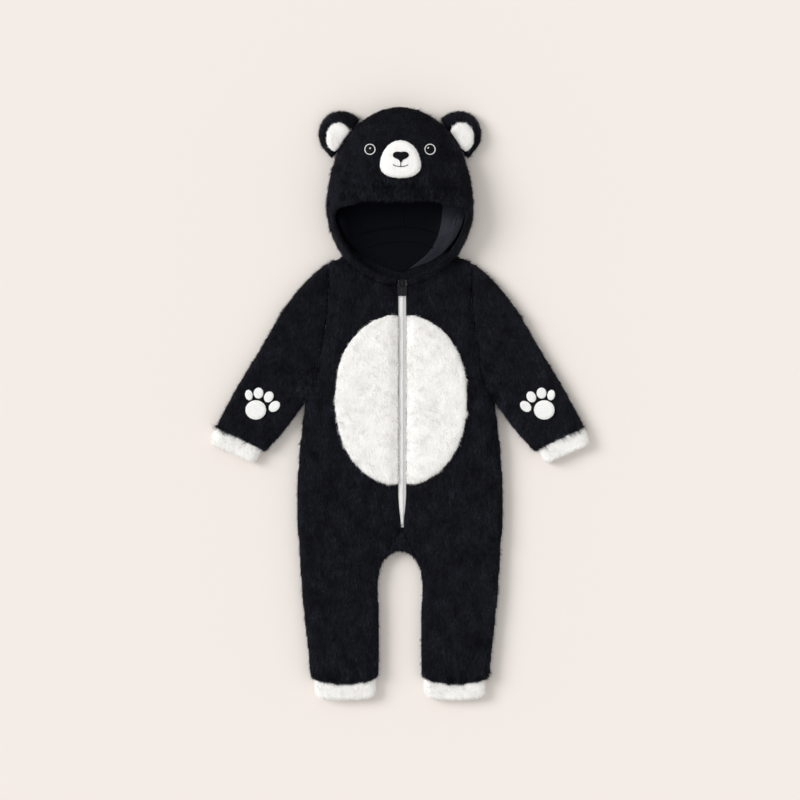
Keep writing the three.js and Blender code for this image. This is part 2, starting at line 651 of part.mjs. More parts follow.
function makeHoodFace() {
  const columns = 48;
  const rings = 6;
  const startAngle = Math.atan((SLOT_HALF - ZIP_X) / RAY_START_DEPTH);
  const endAngle = 2 * Math.PI - Math.atan((SLOT_HALF + ZIP_X) / RAY_START_DEPTH);
  const inOutline = (x, y) => hoodReach(x, y) < 1 && y > frontNeckY(x) + BUTT_GAP;
  const outer = [];
  for (let r = 0; r <= rings; r++) {
    const row = [];
    for (let c = 0; c <= columns; c++) {
      const angle = mix(startAngle, endAngle, c / columns);
      const dx = -Math.sin(angle);
      const dy = -Math.cos(angle);
      const rim = reach(inOutline, 0, RAY_CENTRE_Y, dx, dy);
      const mouth = reach(inMouth, 0, RAY_CENTRE_Y, dx, dy);
      const far = mix(rim, mouth, (r / rings) ** 2);
      const x = dx * far;
      const y = RAY_CENTRE_Y + dy * far;
      const start = outlineState(dx * rim, RAY_CENTRE_Y + dy * rim);
      const strip = mix(start.z, RIM_HEIGHT, quarter((rim - far) / RIM_ROUND));
      const z = r === 0 ? start.z : mix(strip, hoodDome(x, y) + SEAM_GAP / 2, domeShare(y));
      row.push(Object.assign(new THREE.Vector3(x, y, z), { seam: start.seam }));
    }
    outer.push(row);
  }
  const at = (r, c) => outer[Math.min(rings, Math.max(0, r))][Math.min(columns, Math.max(0, c))];
  const lower = outer.map((row, r) => row.map((p, c) => {
    const along = at(r, c + 1).clone().sub(at(r, c - 1));
    const inward = at(r + 1, c).clone().sub(at(r - 1, c));
    const normal = along.clone().cross(inward).normalize();
    if (normal.z < 0) normal.negate();
    if (r === 0) {
      normal.set(along.y, -along.x, 0).normalize();
      if (normal.x * p.x + normal.y * (p.y - RAY_CENTRE_Y) < 0) normal.negate();
      normal.multiplyScalar(1 - p.seam).setZ(p.seam).normalize();
    }
    return p.clone().addScaledVector(normal, -WALL);
  }));
  return addMesh('hood_face', wallSolid([{ outer, lower }]), 'plush');
}

// A sheet from a middle point out to an edge, in rings, with outer and inner points from a place
function polarPatch(inside, centre, columns, shares, place) {
  const cells = shares.map((share) => {
    const row = [];
    for (let c = 0; c < columns; c++) {
      const angle = (c / columns) * 2 * Math.PI;
      const dx = Math.cos(angle);
      const dy = Math.sin(angle);
      const far = reach(inside, centre.x, centre.y, dx, dy);
      row.push(place(centre.x + dx * far * share, centre.y + dy * far * share, far * (1 - share)));
    }
    return row;
  });
  return {
    outer: cells.map((row) => row.map((cell) => cell.outer)),
    lower: cells.map((row) => row.map((cell) => cell.inner)),
    round: true,
  };
}

// Height of the hood's back at a place, outside and inside
function hoodBackHeight(x, y) {
  const t = fromLine(hoodLine, x, y).d / HOOD_BACK_RADIUS;
  const seam = hoodSeam(y) - SEAM_GAP / 2;
  return { t, low: seam * (1 - quarter(t)), high: seam - (seam - WALL) * quarter(t) };
}

// Height of the inner face of the hood's back, which starts a wall's width inside the outline
function hoodBackInside(x, y) {
  const depth = fromLine(hoodLine, x, y).d - WALL;
  const seam = hoodSeam(y) - SEAM_GAP / 2;
  return seam - (seam - WALL) * quarter(depth / (HOOD_BACK_RADIUS - WALL));
}

const hoodCentre = { x: 0, y: 290 };

function makeHoodBack() {
  const inside = (x, y) => hoodReach(x, y) < 1 && y > backNeckY(x) + BUTT_GAP;
  const place = (x, y) => {
    const { t, low, high } = hoodBackHeight(x, y);
    const share = WALL * (1 - clamp01(t)) / (Math.hypot(x, y - hoodCentre.y) || 1);
    return {
      outer: new THREE.Vector3(x, y, low),
      inner: new THREE.Vector3(x * (1 - share), mix(y, hoodCentre.y, share), high),
    };
  };
  const patch = polarPatch(inside, hoodCentre, 32, [0, 0.35, 0.66, 0.84, 0.94, 0.985, 1], place);
  addMesh('hood_back', wallSolid([patch]), 'plush');
}

// Smooth lining inside the hood: over its back and the top of the garment's back, up to the rim
function makeLining() {
  const rimHalf = (y) => (OPENING.rx - LINING.rimInset)
    * Math.max(0, 1 - (Math.max(0, OPENING.y - y) / (OPENING.ry - LINING.rimInset))
      ** OPENING.yPower) ** (1 / OPENING.xPower);
  const inset = LINING.outlineInset;
  const backHalf = (y) => (HOOD.rx - inset) * Math.sqrt(Math.max(0,
    1 - ((y - HOOD.y) / (hoodTall(y) - inset)) ** 2));
  const under = (y) => smooth((y - LINING.underStart) / (LINING.underEnd - LINING.underStart));
  const lowest = OPENING.y - OPENING.ry + LINING.rimInset;
  const inside = (x, y) => y > lowest && Math.abs(x) < mix(rimHalf(y), backHalf(y), under(y));
  const rim = Array.from({ length: 40 }, (_, i) => {
    const y = mix(lowest, LINING.rimTop, i / 39);
    return { x: rimHalf(y), y };
  });
  const place = (x, y) => {
    const floor = hoodBackInside(x, y) + LINING.clear;
    const edge = mix(RIM_HEIGHT, hoodDome(OPENING.rx, y), domeShare(y));
    const lift = Math.max(0, edge - WALL - LINING.rimClear - floor) * (1 - under(y) ** 0.5);
    const t = fromLine(rim, Math.abs(x), y).d / LINING.fall;
    const z = floor + lift * (1 - quarter(t));
    return { outer: new THREE.Vector3(x, y, z + LINING.thick), inner: new THREE.Vector3(x, y, z) };
  };
  const patch = polarPatch(inside, LINING.middle, 32, [0, 0.35, 0.58, 0.75, 0.88, 1], place);
  addMesh('hood_lining', wallSolid([patch]), 'lining');
}

// Upper surface of a mesh at a place in plan
function heightOn(mesh) {
  const position = mesh.geometry.attributes.position;
  const index = mesh.geometry.index.array;
  const faces = [];
  for (let i = 0; i < index.length; i += 3) {
    const corner = (k) => new THREE.Vector3().fromBufferAttribute(position, index[i + k]);
    const [a, b, c] = [corner(0), corner(1), corner(2)];
    const area = (b.x - a.x) * (c.y - a.y) - (b.y - a.y) * (c.x - a.x);
    if (area > 1e-6) faces.push({ a, b, c, area });
  }
  return (x, y) => {
    let best = -Infinity;
    for (const { a, b, c, area } of faces) {
      const u = ((b.x - x) * (c.y - y) - (b.y - y) * (c.x - x)) / area;
      const v = ((c.x - x) * (a.y - y) - (c.y - y) * (a.x - x)) / area;
      if (u < -1e-6 || v < -1e-6 || u + v > 1 + 1e-6) continue;
      best = Math.max(best, u * a.z + v * b.z + (1 - u - v) * c.z);
    }
    return best;
  };
}

function makeEar(side, word) {
  const cx = side * EAR.x;
  const towards = new THREE.Vector3(-cx, HOOD.y - EAR.y, 0).setLength(EAR.stem);
  const stem = [{ x: cx, y: EAR.y }, { x: cx + towards.x, y: EAR.y + towards.y }];
  const depth = (x, y) => EAR.radius - fromLine(stem, x, y).d;
  const clearOfHood = (x, y, gap) => Math.hypot(x / (HOOD.rx + gap),
    (y - HOOD.y) / (HOOD.up + gap)) > 1;
  const inside = (x, y) => depth(x, y) > 0 && clearOfHood(x, y, EAR.gap);
  const place = (x, y) => {
    const q = quarter(depth(x, y) / EAR.round);
    return {
      outer: new THREE.Vector3(x, y, mix(EAR.seam + EAR.edgeHalf, EAR.top, q)),
      inner: new THREE.Vector3(x, y, mix(EAR.seam - EAR.edgeHalf, 0, q)),
    };
  };
  const centre = { x: cx + side * 4, y: EAR.y + 4 };
  const ear = addMesh(`ear_${word}`,
    wallSolid([polarPatch(inside, centre, 24, [0, 0.6, 0.8, 0.93, 1], place)]), 'plush');
  const host = heightOn(ear);
  const ix = side * INNER_EAR.x;
  const inOval = (x, y) => Math.hypot((x - ix) / INNER_EAR.rx, (y - INNER_EAR.y) / INNER_EAR.ry) < 1;
  const inPatch = (x, y) => inOval(x, y) && clearOfHood(x, y, INNER_EAR.hoodClear);
  makePad(`inner_ear_${word}`, 'white', inPatch, { x: ix + side * 3, y: INNER_EAR.y + 3 }, host,
    { columns: 18, thick: INNER_EAR.thick, edge: 4, gap: 1 });
}

// A pad sewn on a panel: it follows the panel's own surface, a small gap above it
function makePad(name, finish, inside, centre, host, { columns, thick, edge, gap = APPLIQUE_GAP }) {
  const place = (x, y, far) => {
    const z = host(x, y) + gap;
    const crown = thick * mix(PAD_EDGE, 1, quarter(far / edge));
    return { outer: new THREE.Vector3(x, y, z + crown), inner: new THREE.Vector3(x, y, z) };
  };
  const shares = columns > 14 ? [0, 0.5, 0.82, 1] : [0, 0.75, 1];
  return addMesh(name, wallSolid([polarPatch(inside, centre, columns, shares, place)]), finish);
}

function makeBelly(side, name, front) {
  const host = heightOn(front);
  const slot = ZIP_X + side * (SLOT_HALF + BELLY.slotClear);
  const rows = 14;
  const columns = 7;
  const outer = [];
  const lower = [];
  for (let r = 0; r <= rows; r++) {
    const share = Math.sin(mix(-BELLY.spread, BELLY.spread, r / rows)) / Math.sin(BELLY.spread);
    const dy = share * BELLY.reach;
    const half = BELLY.rx * (1 - Math.abs(dy) ** BELLY.power) ** (1 / BELLY.power);
    const y = BELLY.y + dy * BELLY.ry;
    const rim = BELLY.x + side * half;
    const top = [];
    const low = [];
    for (let c = 0; c <= columns; c++) {
      const x = mix(slot, rim, 1 - (1 - c / columns) ** 1.6);
      const fromEdge = Math.min(Math.abs(rim - x), BELLY.ry * (1 - Math.abs(dy)));
      const z = host(x, y) + APPLIQUE_GAP;
      low.push(new THREE.Vector3(x, y, z));
      const crown = BELLY.thick * mix(PAD_EDGE, 1, quarter(fromEdge / BELLY.edge));
      top.push(new THREE.Vector3(x, y, z + crown));
    }
    outer.push(top);
    lower.push(low);
  }
  addMesh(name, wallSolid([{ outer, lower }]), 'white');
}

function makeFace(host) {
  const power = (y) => (y > MUZZLE.y ? MUZZLE.upPower : MUZZLE.downPower);
  const tall = (y) => (y > MUZZLE.y ? MUZZLE.up : MUZZLE.down);
  const inMuzzle = (x, y) => (Math.abs(x - MUZZLE.x) / MUZZLE.half) ** 2.1
    + (Math.abs(y - MUZZLE.y) / tall(y)) ** power(y) < 1;
  const muzzle = makePad('muzzle', 'white', inMuzzle, { x: MUZZLE.x, y: 330 }, host,
    { columns: 28, thick: MUZZLE_THICK, edge: 8, gap: 0.7 });
  const onMuzzle = heightOn(muzzle);
  const inNose = (x, y) => {
    const dy = y - NOSE.y;
    const half = dy > 0
      ? NOSE.rx * Math.sqrt(Math.max(0, 1 - (dy / NOSE.up) ** 2))
      : NOSE.rx * (1 - (-dy / NOSE.down) ** 1.3);
    return Math.abs(dy) < (dy > 0 ? NOSE.up : NOSE.down) && Math.abs(x - NOSE.x) < half;
  };
  makePad('nose', 'dark', inNose, { x: NOSE.x, y: NOSE.y }, onMuzzle,
    { columns: 20, thick: NOSE.thick, edge: 2, gap: 0.6 });
  for (const [side, word] of [[-1, 'right'], [1, 'left']]) makeEye(side, word, host);
}

// An eye: a stitched ring on the forehead
function makeEye(side, word, host) {
  const columns = 20;
  const rows = [EYE.radius - EYE.stroke, EYE.radius];
  const ring = (radius) => Array.from({ length: columns }, (_, c) => {
    const angle = (c / columns) * 2 * Math.PI;
    const x = side * EYE.x + radius * Math.cos(angle);
    const y = EYE.y + radius * Math.sin(angle);
    return new THREE.Vector3(x, y, host(x, y) + 0.5);
  });
  const lower = rows.map(ring);
  const outer = lower.map((row) => row.map((p) => p.clone().setZ(p.z + EYE.thick)));
  addMesh(`eye_${word}`, wallSolid([{ outer, lower, round: true }]), 'satin');
}

function makePaw(side, word, host) {
  const oval = (spec, name, columns) => {
    const turn = THREE.MathUtils.degToRad(spec.turn ?? 0) * -side;
    const inside = (x, y) => {
      const dx = x - side * spec.x;
      const dy = y - spec.y;
      return Math.hypot((dx * Math.cos(turn) + dy * Math.sin(turn)) / spec.rx,
        (dy * Math.cos(turn) - dx * Math.sin(turn)) / spec.ry) < 1;
    };
    makePad(name, 'satin', inside, { x: side * spec.x, y: spec.y }, host,
      { columns, thick: PALM.thick, edge: 2 });
  };
  oval(PALM, `palm_${word}`, 20);
  TOES.forEach((toe, i) => oval(toe, `toe_${word}_${i + 1}`, 12));
}

// Zip tapes: they run in under the fronts' edges and rise between them, with the coil on top
function makeZip() {
  for (const [side, word] of [[-1, 'right'], [1, 'left']]) {
    const rows = 12;
    const outer = [];
    const lower = [];
    for (let r = 0; r <= rows; r++) {
      const y = mix(TAPE.top, TAPE.bottom, r / rows);
      const slot = Math.abs(frontMiddle(side, Math.max(y, SLOT_END_Y)) - ZIP_X);
      const foot = slot - TAPE.clear;
      const bend = foot - TAPE.slope;
      const far = TAPE.width * mix(0.55, 1, smooth((y - TAPE.bottom) / SLOT_TAPER));
      const across = (...profile) => profile.map(([x, z]) => new THREE.Vector3(ZIP_X + side * x, y, z));
      outer.push(across([TAPE.meet, TAPE.face], [bend, TAPE.face], [foot, TAPE.foot], [far, TAPE.foot]));
      lower.push(across([TAPE.meet, TAPE.face - TAPE.thick],
        [Math.max(TAPE.meet + 0.1, bend - TAPE.thick), TAPE.face - TAPE.thick],
        [foot - TAPE.thick, TAPE.foot - TAPE.thick], [far, TAPE.foot - TAPE.thick]));
    }
    addMesh(`zip_tape_${word}`, wallSolid([{ outer, lower }]), 'tape');
  }
  const length = COIL.top - COIL.bottom;
  const section = new THREE.Shape().absellipse(0, 0, COIL.width / 2, COIL.thick / 2, 0, 2 * Math.PI);
  const coil = new THREE.ExtrudeGeometry(section,
    { depth: length, bevelEnabled: false, steps: 1, curveSegments: 5 });
  coil.rotateX(Math.PI / 2);
  coil.translate(ZIP_X, COIL.top, COIL.z);
  addMesh('zip_coil', coil, 'coil');
}

const wasm = await Module();
wasm.setup();

// Joins closed geometries into one
function joined(geometries) {
  const solids = geometries.map((geometry) => {
    const bare = geometry.clone();
    for (const name of Object.keys(bare.attributes)) {
      if (name !== 'position') bare.deleteAttribute(name);
    }
    const merged = mergeVertices(bare, 1e-4);
    return new wasm.Manifold(new wasm.Mesh({
      numProp: 3,
      vertProperties: Float32Array.from(merged.attributes.position.array),
      triVerts: Uint32Array.from(merged.index.array),
    }));
  });
  const mesh = solids.reduce((a, b) => a.add(b)).getMesh();
  const geometry = new THREE.BufferGeometry();
  geometry.setAttribute('position', new THREE.BufferAttribute(mesh.vertProperties, 3));
  geometry.setIndex([...mesh.triVerts]);
  return geometry;
}

function plate(width, length, thick, corner) {
  const shape = new THREE.Shape();
  const x = width / 2;
  shape.moveTo(-x + corner, 0);
  shape.lineTo(x - corner, 0);
  shape.absarc(x - corner, corner, corner, -Math.PI / 2, 0);
  shape.lineTo(x, length - corner);
  shape.absarc(x - corner, length - corner, corner, 0, Math.PI / 2);
  shape.lineTo(-x + corner, length);
  shape.absarc(-x + corner, length - corner, corner, Math.PI / 2, Math.PI);
  shape.lineTo(-x, corner);
  shape.absarc(-x + corner, corner, corner, Math.PI, Math.PI * 1.5);
  return new THREE.ExtrudeGeometry(shape, { depth: thick, bevelEnabled: false, curveSegments: 3 });
}

// Zip slider with a bridge, and the pull tab that turns on its own cross bar under the bridge
function makeSlider() {
  const body = plate(SLIDER.width, SLIDER.length, SLIDER.top - SLIDER.low, 2.5);
  body.translate(ZIP_X, SLIDER.y, SLIDER.low);
  const arch = new THREE.Shape();
  const { foot, head, window } = SLIDER.bridge;
  const y0 = PULL.y - foot;
  const y1 = PULL.y + foot;
  arch.moveTo(y0, SLIDER.top - 0.5);
  arch.lineTo(y1, SLIDER.top - 0.5);
  arch.lineTo(y1, head - 1);
  arch.lineTo(y1 - 1, head);
  arch.lineTo(y0 + 1, head);
  arch.lineTo(y0, head - 1);
  arch.closePath();
  const hole = new THREE.Path();
  hole.absellipse(PULL.y, PULL.z, window, window * 0.85, 0, 2 * Math.PI);
  arch.holes.push(hole);
  const bridge = new THREE.ExtrudeGeometry(arch,
    { depth: SLIDER.bridge.width, bevelEnabled: false, curveSegments: 6 });
  bridge.rotateY(Math.PI / 2);
  bridge.rotateX(Math.PI / 2);
  bridge.translate(ZIP_X - SLIDER.bridge.width / 2, 0, 0);
  addMesh('zip_slider', joined([body, bridge]), 'enamel');

  const bar = new THREE.CylinderGeometry(PULL.bar, PULL.bar, PULL.span, 10);
  bar.rotateZ(Math.PI / 2);
  bar.translate(ZIP_X, PULL.y, PULL.z);
  const arms = [-1, 1].map((side) => {
    const arm = new THREE.BoxGeometry(PULL.arm, PULL.reach + 1.8, PULL.thick);
    arm.translate(ZIP_X + side * (PULL.span - PULL.arm) / 2, PULL.y - PULL.reach / 2, PULL.z);
    return arm;
  });
  const tab = plate(PULL.width, PULL.length, PULL.thick, 2);
  tab.translate(ZIP_X, PULL.y - PULL.reach - PULL.length, PULL.z - PULL.thick / 2);
  addMesh('zip_pull', joined([bar, ...arms, tab]), 'enamel');
}

makeBack();
const frontRight = makeFront(-1, 'front_right');
const frontLeft = makeFront(1, 'front_left');
makeGusset();
for (const [side, word] of [[-1, 'right'], [1, 'left']]) {
  const across = (p) => ({ x: side * p.x, y: p.y });
  const sleeve = makeSleeve(side, `sleeve_${word}`);
  makeCuff(SLEEVE_CUFF.start.map(across), SLEEVE_CUFF.end.map(across), `sleeve_cuff_${word}`);
  makeLegCuff(side, `leg_cuff_${word}`);
  makeBelly(side, `belly_${word}`, side < 0 ? frontRight : frontLeft);
  makePaw(side, word, heightOn(sleeve));
  makeEar(side, word);
}
const hoodFace = makeHoodFace();
makeHoodBack();
makeLining();
makeFace(heightOn(hoodFace));
makeZip();
makeSlider();

export default romper;
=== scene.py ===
# Looks of the hooded bear romper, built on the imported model. Metres, +Z up, +Y towards the hood.
# Each plush piece is a soft shell on its solid's form, with a pile of fine blades as its own piece.

import math

import bmesh
import bpy
import numpy as np
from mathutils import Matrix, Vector
from mathutils.bvhtree import BVHTree


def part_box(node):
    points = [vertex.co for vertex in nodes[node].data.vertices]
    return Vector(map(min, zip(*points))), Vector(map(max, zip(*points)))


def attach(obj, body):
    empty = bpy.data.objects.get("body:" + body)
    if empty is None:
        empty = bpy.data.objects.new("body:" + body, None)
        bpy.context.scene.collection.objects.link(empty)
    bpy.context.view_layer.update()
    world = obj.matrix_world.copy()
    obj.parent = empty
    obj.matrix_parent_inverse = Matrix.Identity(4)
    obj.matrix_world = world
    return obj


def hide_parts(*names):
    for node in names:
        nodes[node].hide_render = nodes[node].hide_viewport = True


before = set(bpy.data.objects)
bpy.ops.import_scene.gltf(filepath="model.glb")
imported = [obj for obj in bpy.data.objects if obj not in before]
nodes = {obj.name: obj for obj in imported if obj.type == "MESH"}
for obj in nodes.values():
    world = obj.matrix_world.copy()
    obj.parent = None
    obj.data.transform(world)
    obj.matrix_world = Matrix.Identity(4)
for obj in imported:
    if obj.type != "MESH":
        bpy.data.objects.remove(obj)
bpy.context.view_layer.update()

MM = 0.001
SIDES = {"right": -1, "left": 1}

# Camera straight above, as far as the photograph's frame needs for its 1.375 mm a pixel
VIEW_WIDTH = 1.1
LENS = 600
SENSOR = 36
AIM_Y = 3.4 * MM

# One wide light, low on the left and a little towards the hood, in an even studio
KEY_FROM = (-1.35, 0.46, 1)
KEY_ANGLE = 30
KEY_STRENGTH = 2.0
WORLD_STRENGTH = 0.70
WORLD_COLOR = (1, 0.99, 0.975, 1)
PAPER = (0.850, 0.797, 0.756)
FLOOR_HALF = 4.0

# Soft shells: voxel sizes, how far cloth fills out past its solid, and its unevenness
VOXEL = 3.4 * MM
VOXEL_BACK = 4 * MM
VOXEL_BELLY = 2.2 * MM
VOXEL_FINE = 1.8 * MM
VOXEL_MUZZLE = 1.2 * MM
FILL_OUT = 1.1 * MM
WAVE_SIZE = 26 * MM
WAVE_HEIGHT = 0.5 * MM

# The rolled edge of the hood's opening, in mm: how far it is drawn out, and where
RIM_ROLL = 0.36
RIM_CENTRE = (1.1, 250)
RIM_SECTORS = 90
RIM_TOP = 284
RIM_DEPTH = 40
RIM_LOW = 11

# Pile: blades for each square metre, and the size of a blade
PILE = {
    "body": {"density": 1.35e6, "length": 6.5 * MM, "width": 0.75 * MM, "lift": 0.26, "tuft": 0.36},
    "under": {"density": 0.42e6, "length": 7.5 * MM, "width": 1.0 * MM, "lift": 0.10, "tuft": 0.40},
    "shaggy": {"density": 1.5e6, "length": 9.0 * MM, "width": 0.8 * MM, "lift": 0.30, "tuft": 0.7},
    "white": {"density": 1.9e6, "length": 4.6 * MM, "width": 0.7 * MM, "lift": 0.34, "tuft": 0.55},
    "belly": {"density": 1.7e6, "length": 5.2 * MM, "width": 0.7 * MM, "lift": 0.26, "tuft": 0.5},
    "hem": {"density": 1.6e6, "length": 7.5 * MM, "width": 0.9 * MM, "lift": 0.16, "tuft": 0.6},
    "wrist": {"density": 1.8e6, "length": 12 * MM, "width": 1.0 * MM, "lift": 0.03, "tuft": 0.6},
    "rim": {"density": 1.5e6, "length": 4.8 * MM, "width": 0.75 * MM, "lift": 0.18, "tuft": 0.5},
    "fringe": {"density": 2.6e6, "length": 4.2 * MM, "width": 0.6 * MM, "lift": 0.16, "tuft": 0.5},
    "fleece": {"density": 2.2e6, "length": 2.2 * MM, "width": 0.45 * MM, "lift": 0.8, "tuft": 0.9},
}
MOST_BLADES = 198000
BLADE_LENGTHS = (0.6, 1.15)
BLADE_WIDTHS = (0.7, 1.3)
BLADE_TWIST = 0.5
STRAY = 0.22
LEAST_RISE = 0.12
ROOT_DEPTH = 1.2 * MM
TIP_ROOM = 0.6 * MM
FLOOR_ROOM = 0.05 * MM

# Tufts: blades of one cell lean the same way, which a table gives by the cell's hash
TUFT_CELL = 6 * MM
TUFT_EDGE = 0.35
TUFT_SHARE = 0.6
TUFT_SEED = 11
TUFT_COUNT = 8192
TUFT_HASH = (73856093, 19349663, 83492791)

# The height of the side seams, which parts the upper face of a tube from the lower one
SEAM_HEIGHT = 8.6 * MM

# Zip, in mm: the coil, the tab's rib, and the slot between the fronts, which narrows at its foot
ZIP_X = 3
COIL_TOP = 156.6
COIL_LENGTH = 324
COIL_PITCH = 1.5
COIL_REACH = 2.2
COIL_CROSS = 0.7
COIL_BASE = 16.3
COIL_CROWN = 1.9
RIB_ENDS = (148.2, 157.4)
SLIDER_LOW = 157
SLOT_HALF = 5.8
SLOT_END_HALF = 2.5
SLOT_END_Y = -171
SLOT_TAPER = 48

# Tapes, in mm: the profile is a share of the slot's half width and a drop below the face
TAPE_TOP = 168
TAPE_STEPS = 120
TAPE_FACE = 14.35
TAPE_RISE = 1.9
TAPE_PROFILE = [(0.2 / SLOT_HALF, 0), (0.3, 0.05), (0.6, 0), (0.84, -0.05), (0.95, -0.5),
                (0.985, -3.6)]
TAPE_HIDDEN = 5.2
TAPE_EDGE_HEIGHT = 10.0

# The belly's edge beside the zip, in mm, where it is stitched down
STITCHED_AWAY = 6
STITCHED_WIDTH = 8
STITCHED_HEIGHT = 18.4
STITCHED_SHARE = 0.85

# Soft creases in the upper faces, in mm: a line, its half width, and its height (hollow below 0)
CREASES = [
    (-66, 299, 66, 301, 4.5, -1.7), (-70, 305, 60, 307, 4, 0.8),
    (-84, 262, -70, 206, 5, -1.0), (86, 250, 66, 204, 5, -1.1),
    (-92, 352, -72, 300, 7, -0.9), (88, 356, 60, 384, 7, -1.0),
    (-118, 12, -98, 96, 4.5, -1.2), (116, 8, 100, 88, 4.5, -1.3),
    (-134, -22, -108, -10, 5, -1.2), (136, -30, 104, -4, 5, -1.0),
    (-100, 120, -70, 168, 6, 0.9), (104, 128, 72, 176, 6, 0.8),
    (-140, 40, -196, 96, 5.5, -1.1), (150, 30, 204, 74, 5.5, -1.0),
    (-152, 90, -128, 128, 6, 0.9), (150, 104, 122, 140, 6, 0.9),
    (-176, -20, -224, 10, 5, -0.9), (182, -34, 232, -2, 5, -1.0),
    (-110, -120, -60, -150, 7, -1.0), (104, -96, 70, -150, 7, -1.1),
    (30, -206, 37, -252, 4, -1.6), (-30, -208, -40, -240, 4, -1.2),
    (-122, -200, -60, -226, 6, -1.2), (126, -214, 62, -232, 6, -1.1),
    (-118, -268, -52, -276, 5, 1.0), (116, -312, 50, -322, 5, 1.0),
    (-50, -330, -112, -322, 5, -1.0), (42, -372, 96, -366, 4.5, -1.1),
    (-44, -376, -100, -368, 4.5, -1.0),
]

# Hollows in the underside, which lies on the floor
UNDER_CREASES = [
    (-70, 150, 60, 120, 8, 1.6), (-110, 40, -50, 10, 7, 1.4), (100, 60, 30, 20, 8, 1.5),
    (-90, -80, 20, -110, 9, 1.6), (120, -90, 50, -140, 7, 1.3), (-110, -220, -50, -240, 7, 1.5),
    (110, -230, 45, -262, 7, 1.5), (-100, -320, -45, -300, 6, 1.2), (50, -340, 108, -322, 6, 1.3),
    (-140, 60, -200, 20, 6, 1.4), (150, 80, 196, 10, 6, 1.4), (-180, -20, -220, 0, 5, 1.1),
    (-60, 330, 40, 352, 7, 1.4), (30, 250, 84, 280, 7, 1.3), (-80, 250, -30, 230, 6, 1.2),
    (176, -30, 224, -10, 5, 1.2),
]


# Materials

def material(name, color, roughness, sheen=0.0, sheen_tint=(1, 1, 1), metallic=0.0, specular=0.5):
    made = bpy.data.materials.new(name)
    made.use_nodes = True
    shader = made.node_tree.nodes["Principled BSDF"]
    shader.inputs["Base Color"].default_value = (*color, 1)
    shader.inputs["Roughness"].default_value = roughness
    shader.inputs["Metallic"].default_value = metallic
    shader.inputs["Specular IOR Level"].default_value = specular
    shader.inputs["Sheen Weight"].default_value = sheen
    shader.inputs["Sheen Tint"].default_value = (*sheen_tint, 1)
    shader.inputs["Sheen Roughness"].default_value = 0.4
    return made, made.node_tree, shader


def add_node(tree, kind, **inputs):
    node = tree.nodes.new(kind)
    for key, value in inputs.items():
        node.inputs[key.replace("_", " ")].default_value = value
    return node


def color_ramp(tree, factor, stops):
    ramp = tree.nodes.new("ShaderNodeValToRGB")
    ramp.color_ramp.elements[0].position = stops[0][0]
    ramp.color_ramp.elements[0].color = (*stops[0][1], 1)
    ramp.color_ramp.elements[1].position = stops[-1][0]
    ramp.color_ramp.elements[1].color = (*stops[-1][1], 1)
    for place, color in stops[1:-1]:
        ramp.color_ramp.elements.new(place).color = (*color, 1)
    tree.links.new(factor, ramp.inputs["Fac"])
    return ramp.outputs["Color"]


def cloth_coordinates(tree, scale):
    where = tree.nodes.new("ShaderNodeTexCoord")
    mapping = tree.nodes.new("ShaderNodeMapping")
    mapping.inputs["Scale"].default_value = scale
    tree.links.new(where.outputs["Object"], mapping.inputs["Vector"])
    return mapping.outputs["Vector"]


def bump(tree, shader, height, strength, distance):
    node = add_node(tree, "ShaderNodeBump", Strength=strength, Distance=distance)
    tree.links.new(height, node.inputs["Height"])
    tree.links.new(node.outputs["Normal"], shader.inputs["Normal"])


def plush_backing(name, dark, light, sheen, tint):
    """The dense foot of the pile: streaks along the nap, with a fine bump."""
    made, tree, shader = material(name, light, 0.9, sheen, tint, specular=0.12)
    noise = add_node(tree, "ShaderNodeTexNoise", Scale=1.0, Detail=6.0, Roughness=0.65)
    tree.links.new(cloth_coordinates(tree, (420, 120, 260)), noise.inputs["Vector"])
    tree.links.new(color_ramp(tree, noise.outputs["Fac"], [(0.35, dark), (0.7, light)]),
                   shader.inputs["Base Color"])
    bump(tree, shader, noise.outputs["Fac"], 0.8, 1.5 * MM)
    return made


def pile_finish(name, dark, light, sheen, tint, roughness=0.75):
    """Blades of pile, each a shade lighter or darker than the next, in soft patches."""
    made, tree, shader = material(name, light, roughness, sheen, tint, specular=0.16)
    patch = add_node(tree, "ShaderNodeTexNoise", Scale=1.0, Detail=3.0, Roughness=0.6)
    tree.links.new(cloth_coordinates(tree, (60, 35, 60)), patch.inputs["Vector"])
    streak = add_node(tree, "ShaderNodeTexNoise", Scale=1.0, Detail=2.0, Roughness=0.5)
    tree.links.new(cloth_coordinates(tree, (520, 130, 340)), streak.inputs["Vector"])
    blend = tree.nodes.new("ShaderNodeMath")
    blend.operation = "MULTIPLY"
    tree.links.new(patch.outputs["Fac"], blend.inputs[0])
    tree.links.new(streak.outputs["Fac"], blend.inputs[1])
    middle = tuple(a + 0.3 * (b - a) for a, b in zip(dark, light))
    tree.links.new(color_ramp(tree, blend.outputs[0], [(0.15, dark), (0.25, middle), (0.38, light)]),
                   shader.inputs["Base Color"])
    return made


def woven(name, color, pitch, roughness, sheen=0.1):
    made, tree, shader = material(name, color, roughness, sheen)
    wave = add_node(tree, "ShaderNodeTexWave", Scale=1.0, Distortion=0.6)
    wave.bands_direction = "Y"
    tree.links.new(cloth_coordinates(tree, (1 / pitch, 1 / pitch, 1 / pitch)), wave.inputs["Vector"])
    darker = tuple(0.82 * c for c in color)
    tree.links.new(color_ramp(tree, wave.outputs["Fac"], [(0.1, darker), (0.6, color)]),
                   shader.inputs["Base Color"])
    bump(tree, shader, wave.outputs["Fac"], 0.5, 0.3 * MM)
    return made


